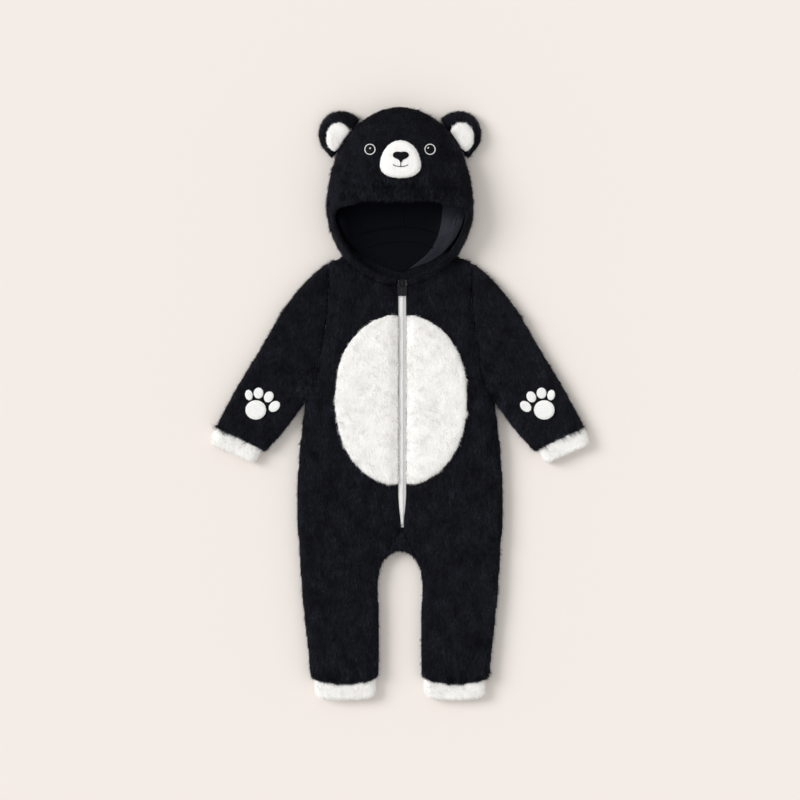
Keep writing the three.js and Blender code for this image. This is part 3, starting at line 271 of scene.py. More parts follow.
def smooth_lining(name):
    made, tree, shader = material(name, (0.001, 0.001, 0.002), 0.6, 0.0, specular=0.05)
    knit = add_node(tree, "ShaderNodeTexNoise", Scale=1.0, Detail=4.0, Roughness=0.6)
    tree.links.new(cloth_coordinates(tree, (900, 500, 700)), knit.inputs["Vector"])
    tree.links.new(color_ramp(tree, knit.outputs["Fac"],
                              [(0.3, (0.0009, 0.0011, 0.0026)), (0.75, (0.0026, 0.0031, 0.0060))]),
                   shader.inputs["Base Color"])
    bump(tree, shader, knit.outputs["Fac"], 0.35, 0.4 * MM)
    return made


def satin(name, dark, light, roughness=0.42, sheen=0.15, specular=0.5):
    made, tree, shader = material(name, light, roughness, sheen, specular=specular)
    grain = add_node(tree, "ShaderNodeTexNoise", Scale=1.0, Detail=2.0)
    tree.links.new(cloth_coordinates(tree, (250, 1400, 600)), grain.inputs["Vector"])
    tree.links.new(color_ramp(tree, grain.outputs["Fac"], [(0.3, dark), (0.7, light)]),
                   shader.inputs["Base Color"])
    bump(tree, shader, grain.outputs["Fac"], 0.3, 0.2 * MM)
    return made


BLACK_TINT = (0.32, 0.36, 0.48)
FINISHES = {
    "black_backing": plush_backing("black_backing", (0.002, 0.002, 0.004), (0.008, 0.009, 0.014),
                                   0.05, BLACK_TINT),
    "black_pile": pile_finish("black_pile", (0.0012, 0.0012, 0.0034), (0.027, 0.029, 0.042),
                              0.05, BLACK_TINT),
    "white_backing": plush_backing("white_backing", (0.90, 0.89, 0.87), (0.97, 0.965, 0.955),
                                   0.1, (1, 1, 1)),
    "white_pile": pile_finish("white_pile", (0.93, 0.92, 0.895), (0.985, 0.98, 0.97), 0.2,
                              (1, 1, 1), 0.8),
    "lining": smooth_lining("lining"),
    "white_satin": satin("white_satin", (0.82, 0.82, 0.82), (0.96, 0.96, 0.95), 0.55, 0.15, 0.3),
    "black_satin": satin("black_satin", (0.001, 0.001, 0.002), (0.005, 0.005, 0.007), 0.6, 0, 0.1),
    "tape": woven("tape", (0.97, 0.965, 0.955), 0.9 * MM, 0.8),
    # Painted light: a lighter copy of the dark inner cloth, used only for the facing strip on the lit
    # side
    "facing_painted_lit": satin("facing_painted_lit", (0.007, 0.008, 0.013), (0.018, 0.021, 0.031), 0.6, 0.1, 0.15),
    "coil": satin("coil", (0.94, 0.94, 0.93), (0.98, 0.98, 0.97), 0.75, 0.15, 0.15),
    "enamel": satin("enamel", (0.004, 0.004, 0.006), (0.011, 0.011, 0.015), 0.5, 0, 0.2),
}

# Finish and slot of each cloth and thread
BLACK_SHELL = ("black_backing", "black_plush")
BLACK_PILE = ("black_pile", "black_plush")
WHITE_SHELL = ("white_backing", "white_plush")
WHITE_PILE = ("white_pile", "white_plush")
LINING = ("lining", "hood_lining")
BLACK_THREAD = ("black_satin", "black_embroidery")
WHITE_THREAD = ("white_satin", "white_embroidery")


# Meshes

def link(name, mesh, finish, body="garment"):
    made = bpy.data.objects.new(name, mesh)
    bpy.context.scene.collection.objects.link(made)
    mesh.materials.clear()
    mesh.materials.append(FINISHES[finish])
    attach(made, body)
    return made


def mesh_from(name, points, faces):
    """A mesh from arrays of points and of faces with one number of corners."""
    points = np.asarray(points, np.float32)
    faces = np.asarray(faces, np.int32)
    corners = faces.shape[1]
    mesh = bpy.data.meshes.new(name)
    mesh.vertices.add(len(points))
    mesh.vertices.foreach_set("co", points.ravel())
    mesh.loops.add(faces.size)
    mesh.loops.foreach_set("vertex_index", faces.ravel())
    mesh.polygons.add(len(faces))
    mesh.polygons.foreach_set("loop_start", np.arange(0, faces.size, corners, dtype=np.int32))
    mesh.update(calc_edges=True)
    return mesh


def coordinates(mesh):
    co = np.empty(len(mesh.vertices) * 3, np.float32)
    mesh.vertices.foreach_get("co", co)
    return co.reshape(-1, 3).astype(float)


def vertex_normals(mesh):
    normals = np.empty(len(mesh.vertices) * 3, np.float32)
    mesh.vertices.foreach_get("normal", normals)
    return normals.reshape(-1, 3).astype(float)


def soft_waves(co, scale):
    """An even, soft unevenness from -1 to 1 over a surface, the same on every run."""
    x, y, z = (co / scale).T
    return (np.sin(x * 2.1 + 1.3 * np.sin(y * 1.7 + 0.4)) * np.cos(y * 1.3 + 0.8 * np.sin(x * 1.1))
            + 0.5 * np.sin(x * 4.3 - y * 3.1 + z * 2.0 + 1.1)) / 1.5


def crease_relief(co, creases):
    """Height that soft creases add to a face, fading towards the ends of each."""
    relief = np.zeros(len(co))
    for x0, y0, x1, y1, width, height in creases:
        a = np.array((x0, y0)) * MM
        along = np.array((x1, y1)) * MM - a
        t = np.clip(((co[:, :2] - a) @ along) / (along @ along), 0, 1)
        d = np.linalg.norm(co[:, :2] - a - t[:, None] * along, axis=1)
        relief += height * MM * np.exp(-(d / (width * MM)) ** 2) * np.sin(math.pi * (0.1 + 0.8 * t))
    return relief


def whole_mesh(node):
    """A copy of a node's mesh with its faces joined at their edges."""
    whole = bmesh.new()
    whole.from_mesh(nodes[node].data)
    bmesh.ops.remove_doubles(whole, verts=whole.verts, dist=0.01 * MM)
    mesh = bpy.data.meshes.new(node)
    whole.to_mesh(mesh)
    whole.free()
    return mesh


def soft_shell(name, node, finish, slot, voxel=VOXEL, rounds=4, waves=WAVE_HEIGHT,
               fill_out=FILL_OUT, shape=None):
    """The soft cloth of a node, with an even mesh, rounded edges and small unevenness.

    Without a voxel size the node's own wall is subdivided, which keeps a thin cloth or a hollow."""
    source = bpy.data.objects.new(name, whole_mesh(node))
    bpy.context.scene.collection.objects.link(source)
    if voxel:
        remesh = source.modifiers.new("remesh", "REMESH")
        remesh.mode = "VOXEL"
        remesh.voxel_size = voxel
        remesh.use_smooth_shade = True
        rounder = source.modifiers.new("round", "SMOOTH")
        rounder.factor = 0.5
        rounder.iterations = rounds
    else:
        divide = source.modifiers.new("divide", "SUBSURF")
        divide.levels = rounds
        divide.render_levels = rounds
    graph = bpy.context.evaluated_depsgraph_get()
    mesh = bpy.data.meshes.new_from_object(source.evaluated_get(graph))
    bpy.data.objects.remove(source)
    mesh.shade_smooth()
    mesh.name = name
    co = coordinates(mesh)
    normals = vertex_normals(mesh)
    co += normals * fill_out
    up = np.clip(normals[:, 2], 0, 1)
    co[:, 2] += (waves * soft_waves(co, WAVE_SIZE) + crease_relief(co, CREASES)) * up
    co[:, 2] += crease_relief(co, UNDER_CREASES) * np.clip(-normals[:, 2], 0, 1)
    if shape:
        shape(co)
    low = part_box(node)[0].z
    co[:, 2] = np.maximum(co[:, 2], low)
    mesh.vertices.foreach_set("co", co.astype(np.float32).ravel())
    mesh.update()
    made = link(name, mesh, finish)
    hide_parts(node)
    return made


# Pile

def hull(points):
    """Convex outline of points in plan, anticlockwise."""
    points = sorted(set(map(tuple, np.round(points, 6))))

    def half(order):
        line = []
        for p in order:
            while len(line) > 1 and ((line[-1][0] - line[-2][0]) * (p[1] - line[-2][1])
                                     - (line[-1][1] - line[-2][1]) * (p[0] - line[-2][0])) <= 0:
                line.pop()
            line.append(p)
        return line[:-1]
    return np.array(half(points) + half(points[::-1]))


def depth_in(outline, xy):
    """How deep places lie inside a convex outline; below 0 they are outside."""
    depth = np.full(len(xy), np.inf)
    for a, b in zip(outline, np.roll(outline, -1, axis=0)):
        edge = b - a
        normal = np.array((-edge[1], edge[0])) / np.hypot(*edge)
        depth = np.minimum(depth, (xy - a) @ normal)
    return depth


def plan_outline(*names):
    return hull(np.concatenate([coordinates(nodes[name].data)[:, :2] for name in names]))


def carries_pile(kind, centre, normal):
    """Which faces carry pile: those outside on an upper or a lower panel, or on a tube."""
    if kind == "upper":
        return normal[:, 2] > -0.2
    if kind == "lower":
        return normal[:, 2] < 0.2
    side = centre[:, 2] - SEAM_HEIGHT
    return (side * normal[:, 2] > 0) | (np.abs(normal[:, 2]) < 0.25)


def unit(vectors, least=1e-9):
    """Vectors brought to length 1, apart from any that are shorter than the least."""
    return vectors / np.maximum(np.linalg.norm(vectors, axis=1, keepdims=True), least)


def grow_pile(name, shell, finish, slot, style, nap, kind, seed, bare=(), only=None, share=1.0):
    """Blades of pile over a shell, lying along the nap in small tufts."""
    rng = np.random.default_rng(seed)
    setting = PILE[style]
    mesh = shell.data
    co = coordinates(mesh)
    normals = vertex_normals(mesh)
    mesh.calc_loop_triangles()
    tris = np.empty(len(mesh.loop_triangles) * 3, np.int32)
    mesh.loop_triangles.foreach_get("vertices", tris)
    tris = tris.reshape(-1, 3)
    a, b, c = (co[tris[:, i]] for i in range(3))
    centre = (a + b + c) / 3
    cross = np.cross(b - a, c - a)
    area = np.linalg.norm(cross, axis=1) / 2
    face_normal = cross / np.maximum(2 * area[:, None], 1e-12)
    area = np.where(carries_pile(kind, centre, face_normal), area, 0)
    if only is not None:
        area = np.where(only(centre), area, 0)
    count = int(area.sum() * setting["density"] * share * (1))
    count = min(count, MOST_BLADES)
    picked = rng.choice(len(tris), count, p=area / area.sum())
    u, v = rng.random(count), rng.random(count)
    over = u + v > 1
    u, v = np.where(over, 1 - u, u), np.where(over, 1 - v, v)
    weights = np.stack([1 - u - v, u, v], axis=1)[:, :, None]
    corner = tris[picked]
    root = (co[corner] * weights).sum(1)
    normal = unit((normals[corner] * weights).sum(1))
    direction = np.broadcast_to(np.asarray(nap, float), root.shape)
    flat = unit(direction - (direction * normal).sum(1, keepdims=True) * normal, 1e-3)
    leans = np.random.default_rng(TUFT_SEED).normal(size=(TUFT_COUNT, 3))
    cell = np.floor(root / TUFT_CELL + TUFT_EDGE * rng.normal(size=root.shape)).astype(np.int64)
    tuft = leans[np.bitwise_xor.reduce(cell * TUFT_HASH, axis=1) % TUFT_COUNT]
    heading = (flat + setting["lift"] * normal + setting["tuft"] * TUFT_SHARE * tuft
               + STRAY * rng.normal(size=root.shape))
    rise = (heading * normal).sum(1, keepdims=True)
    heading = unit(heading + normal * np.maximum(LEAST_RISE - rise, 0))
    length = setting["length"] * rng.uniform(*BLADE_LENGTHS, count)
    tip = root + heading * length[:, None] - normal * ROOT_DEPTH * 0.4
    root = root - normal * ROOT_DEPTH
    across = unit(np.cross(heading, normal + BLADE_TWIST * rng.normal(size=root.shape)))
    half = across * setting["width"] / 2 * rng.uniform(*BLADE_WIDTHS, count)[:, None]
    ok = np.ones(count, bool)
    for outline, inset in bare:
        ok &= depth_in(outline, root[:, :2]) < inset
        ok &= depth_in(outline, tip[:, :2]) < inset + TIP_ROOM
    root, tip, half = root[ok], tip[ok], half[ok]
    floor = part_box("back")[0].z + FLOOR_ROOM
    root[:, 2] = np.maximum(root[:, 2], floor)
    points = np.stack([root - half, root + half, tip], axis=1).reshape(-1, 3)
    points[:, 2] = np.maximum(points[:, 2], floor)
    faces = np.arange(len(points)).reshape(-1, 3)
    return link(name, mesh_from(name, points, faces), finish)


# Cloth pieces

DOWN = (0, -1, 0)


def sleeve_nap(side):
    return (side * 0.56, -0.83, 0)


def slot_taper(y):
    """From 0 at the foot of the zip's slot to 1 where it has its whole width; y in mm."""
    taper = np.clip((y - SLOT_END_Y) / SLOT_TAPER, 0, 1)
    return taper * taper * (3 - 2 * taper)


def slot_edge(y):
    """Half the width of the zip's slot, in mm."""
    return SLOT_END_HALF + (SLOT_HALF - SLOT_END_HALF) * slot_taper(y)


def flatten_beside_zip(co):
    """The belly lies lower beside the zip, where it is stitched down."""
    away = (np.abs(co[:, 0] - ZIP_X * MM) - STITCHED_AWAY * MM) / (STITCHED_WIDTH * MM)
    above = np.maximum(co[:, 2] - STITCHED_HEIGHT * MM, 0)
    co[:, 2] -= above * STITCHED_SHARE * np.exp(-away ** 2)


def clear_of_zip(co):
    """The fronts' edges stay back from the zip."""
    x = co[:, 0] - ZIP_X * MM
    edge = slot_edge(co[:, 1] / MM) * MM
    near = (np.abs(x) < edge) & (co[:, 1] > SLOT_END_Y * MM)
    co[near, 0] = ZIP_X * MM + np.sign(x[near]) * edge[near]


def fade(distance, width):
    """From 0 to 1 along a width in mm."""
    return np.clip(distance / (width * MM), 0, 1)


def draw_rim_out(co):
    """The rolled edge at the sides and the foot of the opening, kept close to the hood's edge."""
    x = co[:, 0] - RIM_CENTRE[0] * MM
    y = co[:, 1] - RIM_CENTRE[1] * MM
    radius = np.hypot(x, y)
    turn = (np.arctan2(y, x) + math.pi) / (2 * math.pi)
    sector = (turn * RIM_SECTORS).astype(int) % RIM_SECTORS
    reach = np.array([radius[sector == i].max(initial=0) for i in range(RIM_SECTORS)])
    reach = (np.roll(reach, 1) + 2 * reach + np.roll(reach, -1)) / 4
    depth = np.maximum(reach[sector] - radius, 0)
    weight = (fade(RIM_TOP * MM - co[:, 1], 16) * fade(RIM_DEPTH * MM - depth, 14)
              * fade(co[:, 2] - RIM_LOW * MM, 6))
    push = RIM_ROLL * depth * weight / np.maximum(radius, 1 * MM)
    co[:, 0] += x * push
    co[:, 1] += y * push


# Where a pile grows: each takes the middles of faces, in metres

def at_hem(centre):
    """The end of a leg, where the fur lies over the cuff."""
    return centre[:, 1] < -370 * MM


def at_wrist(centre):
    """The end of a sleeve, across its own direction."""
    return 0.5 * np.abs(centre[:, 0]) - 0.866 * centre[:, 1] > 149 * MM


def beside_zip(centre):
    return np.abs(centre[:, 0] - ZIP_X * MM) < 9 * MM


def at_shoulder(centre):
    return np.hypot(np.abs(centre[:, 0]) - 97.6 * MM, centre[:, 1] - 190 * MM) < 13 * MM


def at_armpit(centre):
    return np.hypot(np.abs(centre[:, 0]) - 118 * MM, centre[:, 1] - 24 * MM) < 28 * MM


def at_ears(centre):
    """The hood's edge along the ears, which run at a slant from their lower end."""
    x = np.abs(centre[:, 0]) / MM - 55.7
    y = centre[:, 1] / MM - 388
    along = 0.551 * x - 0.834 * y
    out = 0.834 * x + 0.551 * y
    return (out > -7) & (along > -7) & (along < 66)


def above_opening(centre):
    """The hood without the rolled edge at the sides and the foot of its opening."""
    return (centre[:, 1] > 282 * MM) | (np.abs(centre[:, 0]) > 92 * MM)


def at_rim(centre):
    return centre[:, 1] < 282 * MM


def over_opening(centre):
    """The brow, whose fur hangs into the opening."""
    return ((centre[:, 1] > 281 * MM) & (centre[:, 1] < 303 * MM)
            & (np.abs(centre[:, 0]) < 80 * MM))


def on_side(side, test):
    """A test for one side of the garment alone."""
    return lambda centre: test(centre) & (side * centre[:, 0] > 0)


def build_plush():
    belly = plan_outline("belly_right", "belly_left")
    slot = np.array([(-4.4, -150), (10.4, -150), (10.4, 168), (-4.4, 168)]) * MM
    for seed, (word, side) in enumerate(SIDES.items()):
        front = soft_shell(f"plush_front_{word}", f"front_{word}", *BLACK_SHELL,
                           shape=clear_of_zip)
        grow_pile(f"pile_hem_{word}", front, *BLACK_PILE, "hem", DOWN, "upper", 14 + seed,
                  only=at_hem)
        grow_pile(f"pile_front_{word}", front, *BLACK_PILE, "body", DOWN, "upper", 10 + seed,
                  bare=[(belly, 2.5 * MM), (slot, 0)])
        grow_pile(f"pile_shoulder_{word}", front, *BLACK_PILE, "body", (side * 0.7, 0.6, 0),
                  "upper", 80 + seed, only=at_shoulder, share=0.6)

        sleeve = soft_shell(f"plush_sleeve_{word}", f"sleeve_{word}", *BLACK_SHELL, None, 2,
                            fill_out=-0.5 * MM)
        pads = [f"palm_{word}", *(f"toe_{word}_{i}" for i in range(1, 5))]
        grow_pile(f"pile_sleeve_{word}", sleeve, *BLACK_PILE, "body", sleeve_nap(side), "tube",
                  20 + seed, bare=[(plan_outline(pad), 0.2 * MM) for pad in pads], share=0.9)
        grow_pile(f"pile_sleeve_head_{word}", sleeve, *BLACK_PILE, "body", (-side * 0.75, 0.6, 0),
                  "tube", 84 + seed, only=at_shoulder, share=0.6)
        grow_pile(f"pile_wrist_{word}", sleeve, *BLACK_PILE, "wrist", sleeve_nap(side), "tube",
                  24 + seed, only=at_wrist)
        grow_pile(f"pile_underarm_{word}", sleeve, *BLACK_PILE, "body", (-side * 0.9, -0.4, 0),
                  "tube", 88 + seed, only=at_armpit, share=1.2)

        ear = soft_shell(f"plush_ear_{word}", f"ear_{word}", *BLACK_SHELL, VOXEL_FINE,
                         fill_out=-0.8 * MM)
        inner = plan_outline(f"inner_ear_{word}")
        grow_pile(f"pile_ear_{word}", ear, *BLACK_PILE, "body", (side * 0.5, 0.8, 0), "tube",
                  30 + seed, bare=[(inner, 2 * MM)], share=0.9)
        patch = soft_shell(f"plush_inner_ear_{word}", f"inner_ear_{word}", *WHITE_SHELL,
                           VOXEL_FINE, 2)
        grow_pile(f"pile_inner_ear_{word}", patch, *WHITE_PILE, "belly", (side * 0.3, 0.7, 0),
                  "upper", 40 + seed)

        for kind, nap, first_seed in (("sleeve_cuff", sleeve_nap(side), 50), ("leg_cuff", DOWN, 52)):
            cuff = soft_shell(f"plush_{kind}_{word}", f"{kind}_{word}", *WHITE_SHELL, None, 2,
                              fill_out=0.2 * MM)
            grow_pile(f"pile_{kind}_{word}", cuff, *WHITE_PILE, "white", nap, "tube",
                      first_seed + seed)

        half = soft_shell(f"plush_belly_{word}", f"belly_{word}", *WHITE_SHELL, VOXEL_BELLY, 3,
                          0.7 * MM, shape=flatten_beside_zip)
        grow_pile(f"pile_belly_{word}", half, *WHITE_PILE, "belly", DOWN, "upper", 60 + seed)
        grow_pile(f"pile_zip_fringe_{word}", half, *WHITE_PILE, "fringe", (-side * 0.9, -0.45, 0),
                  "upper", 64 + seed, only=beside_zip)


def build_hood():
    face = soft_shell("plush_hood_face", "hood_face", *BLACK_SHELL, None, 2, fill_out=0.2 * MM,
                      shape=draw_rim_out)
    bare = [(plan_outline("muzzle"), 0.8 * MM)]
    bare += [(plan_outline(f"eye_{word}"), 0.4 * MM) for word in SIDES]
    grow_pile("pile_hood_face", face, *BLACK_PILE, "body", DOWN, "upper", 70, bare=bare,
              only=above_opening)
    for seed, (word, side) in enumerate(SIDES.items()):
        grow_pile(f"pile_ear_root_{word}", face, *BLACK_PILE, "body", (side * 0.83, 0.55, 0),
                  "upper", 92 + seed, only=on_side(side, at_ears), share=0.9)
        grow_pile(f"pile_hood_rim_{word}", face, *BLACK_PILE, "rim", (side * 0.8, -0.6, 0),
                  "upper", 76 + seed, only=on_side(side, at_rim))
    grow_pile("pile_hood_hem", face, *BLACK_PILE, "shaggy", DOWN, "upper", 71, only=over_opening)
    back = soft_shell("plush_hood_back", "hood_back", *BLACK_SHELL)
    grow_pile("pile_hood_back", back, *BLACK_PILE, "under", DOWN, "lower", 72)
    lining = soft_shell("cloth_hood_lining", "hood_lining", *LINING, None, 2, 0, 0)
    body = soft_shell("plush_back", "back", *BLACK_SHELL, VOXEL_BACK)
    grow_pile("pile_back", body, *BLACK_PILE, "under", DOWN, "lower", 73)
    gusset = soft_shell("plush_gusset", "gusset", *BLACK_SHELL, VOXEL_FINE)
    grow_pile("pile_gusset", gusset, *BLACK_PILE, "body", DOWN, "upper", 74)
    fleece = soft_shell("fleece_muzzle", "muzzle", "white_backing", "white_fleece", VOXEL_MUZZLE,
                        3, 0.2 * MM, -0.5 * MM)
    grow_pile("pile_muzzle", fleece, "white_pile", "white_fleece", "fleece", DOWN, "upper", 75,
              bare=[(plan_outline("nose"), 0.1 * MM)])
    return face.data, lining.data, fleece.data


# Sewing

SEAM_PITCH = 1.5


def tree_of(mesh):
    faces = [tuple(face.vertices) for face in mesh.polygons]
    return BVHTree.FromPolygons([vertex.co.copy() for vertex in mesh.vertices], faces)


def resting_on(*meshes):
    """The height of the highest of some meshes at places in plan."""
    trees = [tree_of(mesh) for mesh in meshes]
    top = coordinates(meshes[0])[:, 2].max()

    def height(xy):
        found = np.zeros(len(xy))
        for i, (x, y) in enumerate(xy):
            hits = [tree.ray_cast(Vector((x, y, 1)), Vector((0, 0, -1)))[0] for tree in trees]
            if not any(hits):
                hits = [trees[0].find_nearest(Vector((x, y, top)))[0]]
            found[i] = max(hit.z for hit in hits if hit)
        return found
    return height


def stitches(name, ends, host, finish, slot, width, crown, rise=0.05, body="garment"):
    """Threads side by side, each an arched strip between two places in plan, all in mm."""
    ends = np.asarray(ends, float) * MM
    start, along = ends[:, :2], ends[:, 2:] - ends[:, :2]
    side = np.stack([-along[:, 1], along[:, 0]], axis=1)
    side *= width * MM / 2 / np.linalg.norm(side, axis=1, keepdims=True)
    steps = (0, 0.12, 0.35, 0.65, 0.88, 1)
    points = []
    for t in steps:
        middle = start + along * t
        top = host(middle) + rise * MM + crown * MM * math.sqrt(4 * t * (1 - t))
        for share in (-1, 0, 1):
            z = top - 0.3 * width * MM * abs(share)
            points.append(np.column_stack([middle + side * share, z]))
    count = len(ends)
    points = np.stack(points, axis=1).reshape(-1, 3)
    first = np.arange(count)[:, None] * 3 * len(steps)
    quads = [(3 * r + c, 3 * r + c + 1, 3 * r + c + 4, 3 * r + c + 3)
             for r in range(len(steps) - 1) for c in (0, 1)]
    faces = (first[:, :, None] + np.array(quads)[None]).reshape(-1, 4)
    return link(name, mesh_from(name, points, faces), finish, body)


def smooth_line(points, pitch):
    """Evenly spaced places along a smooth curve through points, in mm."""
    points = np.asarray(points, float)
    t = np.arange(len(points))
    fine = np.linspace(0, len(points) - 1, 400)
    padded = np.concatenate([[2 * points[0] - points[1]], points, [2 * points[-1] - points[-2]]])
    i = np.minimum(fine.astype(int), len(t) - 2)
    u = (fine - i)[:, None]
    p0, p1, p2, p3 = (padded[i + k] for k in range(4))
    curve = 0.5 * (2 * p1 + (p2 - p0) * u + (2 * p0 - 5 * p1 + 4 * p2 - p3) * u ** 2
                   + (3 * p1 - p0 - 3 * p2 + p3) * u ** 3)
    run = np.concatenate([[0], np.cumsum(np.linalg.norm(np.diff(curve, axis=0), axis=1))])
    at = np.linspace(0, run[-1], max(2, int(run[-1] / pitch) + 1))
    return np.column_stack([np.interp(at, run, curve[:, 0]), np.interp(at, run, curve[:, 1])])


def strip_from(name, rows, finish, slot):
    """A strip of cloth between rows of places that run along it side by side, in metres."""
    wide = len(rows)
    faces = [(wide * r + c, wide * r + c + 1, wide * (r + 1) + c + 1, wide * (r + 1) + c)
             for r in range(len(rows[0]) - 1) for c in range(wide - 1)]
    points = np.stack(rows, axis=1).reshape(-1, 3)
    return link(name, mesh_from(name, points, faces), finish)


def level(height):
    """A host for threads and strips that is flat at a height in mm."""
    return lambda xy: np.full(len(xy), height * MM)


def welt(name, points, width, crown, host, finish, slot):
    """A narrow rounded strip along a smooth line, in mm, as a seam or a turned edge."""
    line = smooth_line(points, SEAM_PITCH)
    along = np.gradient(line, axis=0)
    side = np.column_stack([-along[:, 1], along[:, 0]]) / np.linalg.norm(along, axis=1)[:, None]
    rows = []
    for share in np.linspace(-1, 1, 7):
        place = (line + side * share * width / 2) * MM
        z = host(place) + crown * MM * (1 - share ** 2) - 0.1 * MM
        rows.append(np.column_stack([place, z]))
    return strip_from(name, rows, finish, slot)


def plate(name, outline, centre, thick, host, finish, slot):
    """A crowned patch inside an outline that a middle point sees whole, all in mm."""
    outline = np.asarray(outline, float)
    centre = np.asarray(centre, float)
    shares = (0.02, 0.3, 0.55, 0.75, 0.9, 0.97, 1)
    rings = []
    for share in shares:
        place = (centre + (outline - centre) * share) * MM
        crown = thick * MM * (0.25 + 0.75 * math.sqrt(1 - share ** 4))
        rings.append(np.column_stack([place, host(place) + crown]))
    foot = outline * MM
    rings.append(np.column_stack([foot, host(foot) - 0.3 * MM]))
    count = len(outline)
    faces = [(r * count + c, (r + 1) * count + c, (r + 1) * count + (c + 1) % count,
              r * count + (c + 1) % count) for r in range(len(rings) - 1) for c in range(count)]
    return link(name, mesh_from(name, np.concatenate(rings), faces), finish)


def ring_points(x, y, radius, count):
    angles = np.arange(count) / count * 2 * math.pi
    return np.column_stack([x + radius * np.cos(angles), y + radius * np.sin(angles)])


def walk_outline(outline, pitch):
    """Places round a closed outline with the direction out, in mm."""
    closed = np.concatenate([outline, outline[:1]])
    run = np.concatenate([[0], np.cumsum(np.linalg.norm(np.diff(closed, axis=0), axis=1))])
    at = np.arange(0, run[-1], pitch)
    line = np.column_stack([np.interp(at, run, closed[:, 0]), np.interp(at, run, closed[:, 1])])
    along = np.roll(line, -1, axis=0) - np.roll(line, 1, axis=0)
    out = np.column_stack([along[:, 1], -along[:, 0]])
    return line, out / np.linalg.norm(out, axis=1, keepdims=True)


def satin_fill(outline, slant, pitch, rng):
    """Ends of side-by-side threads that fill a convex outline, in mm, across a slant in degrees."""
    turn = math.radians(slant)
    across = np.array((math.cos(turn), math.sin(turn)))
    along = np.array((-across[1], across[0]))
    ends = []
    u, v = outline @ across, outline @ along
    for place in np.arange(u.min() + pitch / 2, u.max(), pitch):
        cuts = []
        for i in range(len(outline)):
            a, b = i, (i + 1) % len(outline)
            if (u[a] - place) * (u[b] - place) < 0:
                cuts.append(v[a] + (v[b] - v[a]) * (place - u[a]) / (u[b] - u[a]))
        if len(cuts) < 2:
            continue
        low, high = min(cuts), max(cuts)
        parts = max(1, round((high - low) / 9))
        marks = np.linspace(low, high, parts + 1)
        marks[1:-1] += rng.uniform(-2, 2, parts - 1)
        for a, b in zip(marks, marks[1:]):
            ends.append((*(across * place + along * (a - 0.3)), *(across * place + along * (b + 0.3))))
    return ends


# Face, in mm
NOSE_HALF = [(0, 5.4), (3, 6.1), (7, 5.9), (9.8, 4.3), (11, 1.8), (10.4, -0.6), (8, -2.5),
             (5, -3.8), (3, -4.8), (1.9, -6.0), (1.2, -7.6), (0, -8.4)]
NOSE_AT = np.array((1.1, 337.6))
NOSE_THREADS = (-9.4, 9.5, 0.55)
PHILTRUM = [(1.1, 330.2), (1.0, 326.5), (0.8, 323.3)]
SMILE = [(-9.8, 326.1), (-6, 324.3), (0.7, 323.2), (7, 324.1), (11.2, 325.9)]
EYE_X = 41.2
EYE_Y = 347.2
PUPIL = 6.3
EYE_RING = (6.4, 7.7)
RING_THREADS = 76
GLINT = {"right": (0.9, 1.5), "left": (-1.8, 1.9)}
GLINT_PITCH = 0.62
PAD_SLANT = 8


def sew_face(face, fleece_mesh):
    fleece = resting_on(fleece_mesh)
    hood = resting_on(face)
    both = resting_on(fleece_mesh, face)
    half = np.array(NOSE_HALF)
    outline = np.concatenate([half, (half * (-1, 1))[-2:0:-1]]) + NOSE_AT
    outline = smooth_line(np.concatenate([outline, outline[:1]]), 0.8)[:-1]
    nose = plate("embroidery_nose", outline, NOSE_AT + (0, 1), 1.7, fleece, *BLACK_THREAD)
    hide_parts("nose")
    x = np.arange(*NOSE_THREADS)
    top = np.interp(np.abs(x), half[:5, 0], half[:5, 1])
    low = np.interp(np.abs(x), half[::-1][:8, 0], half[::-1][:8, 1])
    ends = np.column_stack([x, top + 0.2, x * 0.96, low - 0.2]) + np.tile(NOSE_AT, 2)
    stitches("threads_nose", ends, resting_on(nose.data), *BLACK_THREAD, 0.6, 0.25)
    lines = []
    for path in (PHILTRUM, SMILE):
        line = smooth_line(path, 2.2)
        lines += [(*a, *b) for a, b in zip(line, line[1:])]
    stitches("threads_mouth", lines, fleece, *BLACK_THREAD, 0.95, 0.5, 0.7)
    edge, out = walk_outline(plan_outline("muzzle") / MM, 1.7)
    ends = np.column_stack([edge - out * 2.6, edge - out * 0.7])
    stitches("threads_muzzle", ends, both, *WHITE_THREAD, 0.6, 0.5, 0.4)
    for word, side in SIDES.items():
        x, y = side * EYE_X, EYE_Y
        ring = resting_on(nodes[f"eye_{word}"].data, face)
        plate(f"embroidery_pupil_{word}", ring_points(x, y, PUPIL, 36), (x, y), 1.5, hood,
              *BLACK_THREAD)
        ends = np.column_stack([ring_points(x, y, EYE_RING[0], RING_THREADS),
                                ring_points(x + 0.1, y, EYE_RING[1], RING_THREADS)])
        threads = stitches(f"threads_eye_{word}", ends, ring, *WHITE_THREAD, 0.66, 0.4)
        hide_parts(f"eye_{word}")
        glint_x, glint_y = x + GLINT[word][0], y + GLINT[word][1]
        ends = [(glint_x + GLINT_PITCH * i - 0.9, glint_y - 0.9 + 0.25 * i,
                 glint_x + GLINT_PITCH * i - 0.5, glint_y + 0.9 + 0.25 * i) for i in range(-1, 2)]
        stitches(f"threads_glint_{word}", ends, hood, *WHITE_THREAD, 0.62, 0.3, 1.9)


def sew_paws():
    rng = np.random.default_rng(90)
    for word, side in SIDES.items():
        for name in (f"palm_{word}", *(f"toe_{word}_{i}" for i in range(1, 5))):
            ends = satin_fill(plan_outline(name) / MM, PAD_SLANT * side, 0.62, rng)
            stitches(f"threads_{name}", ends, resting_on(nodes[name].data), *WHITE_THREAD, 0.66,
                     0.3)
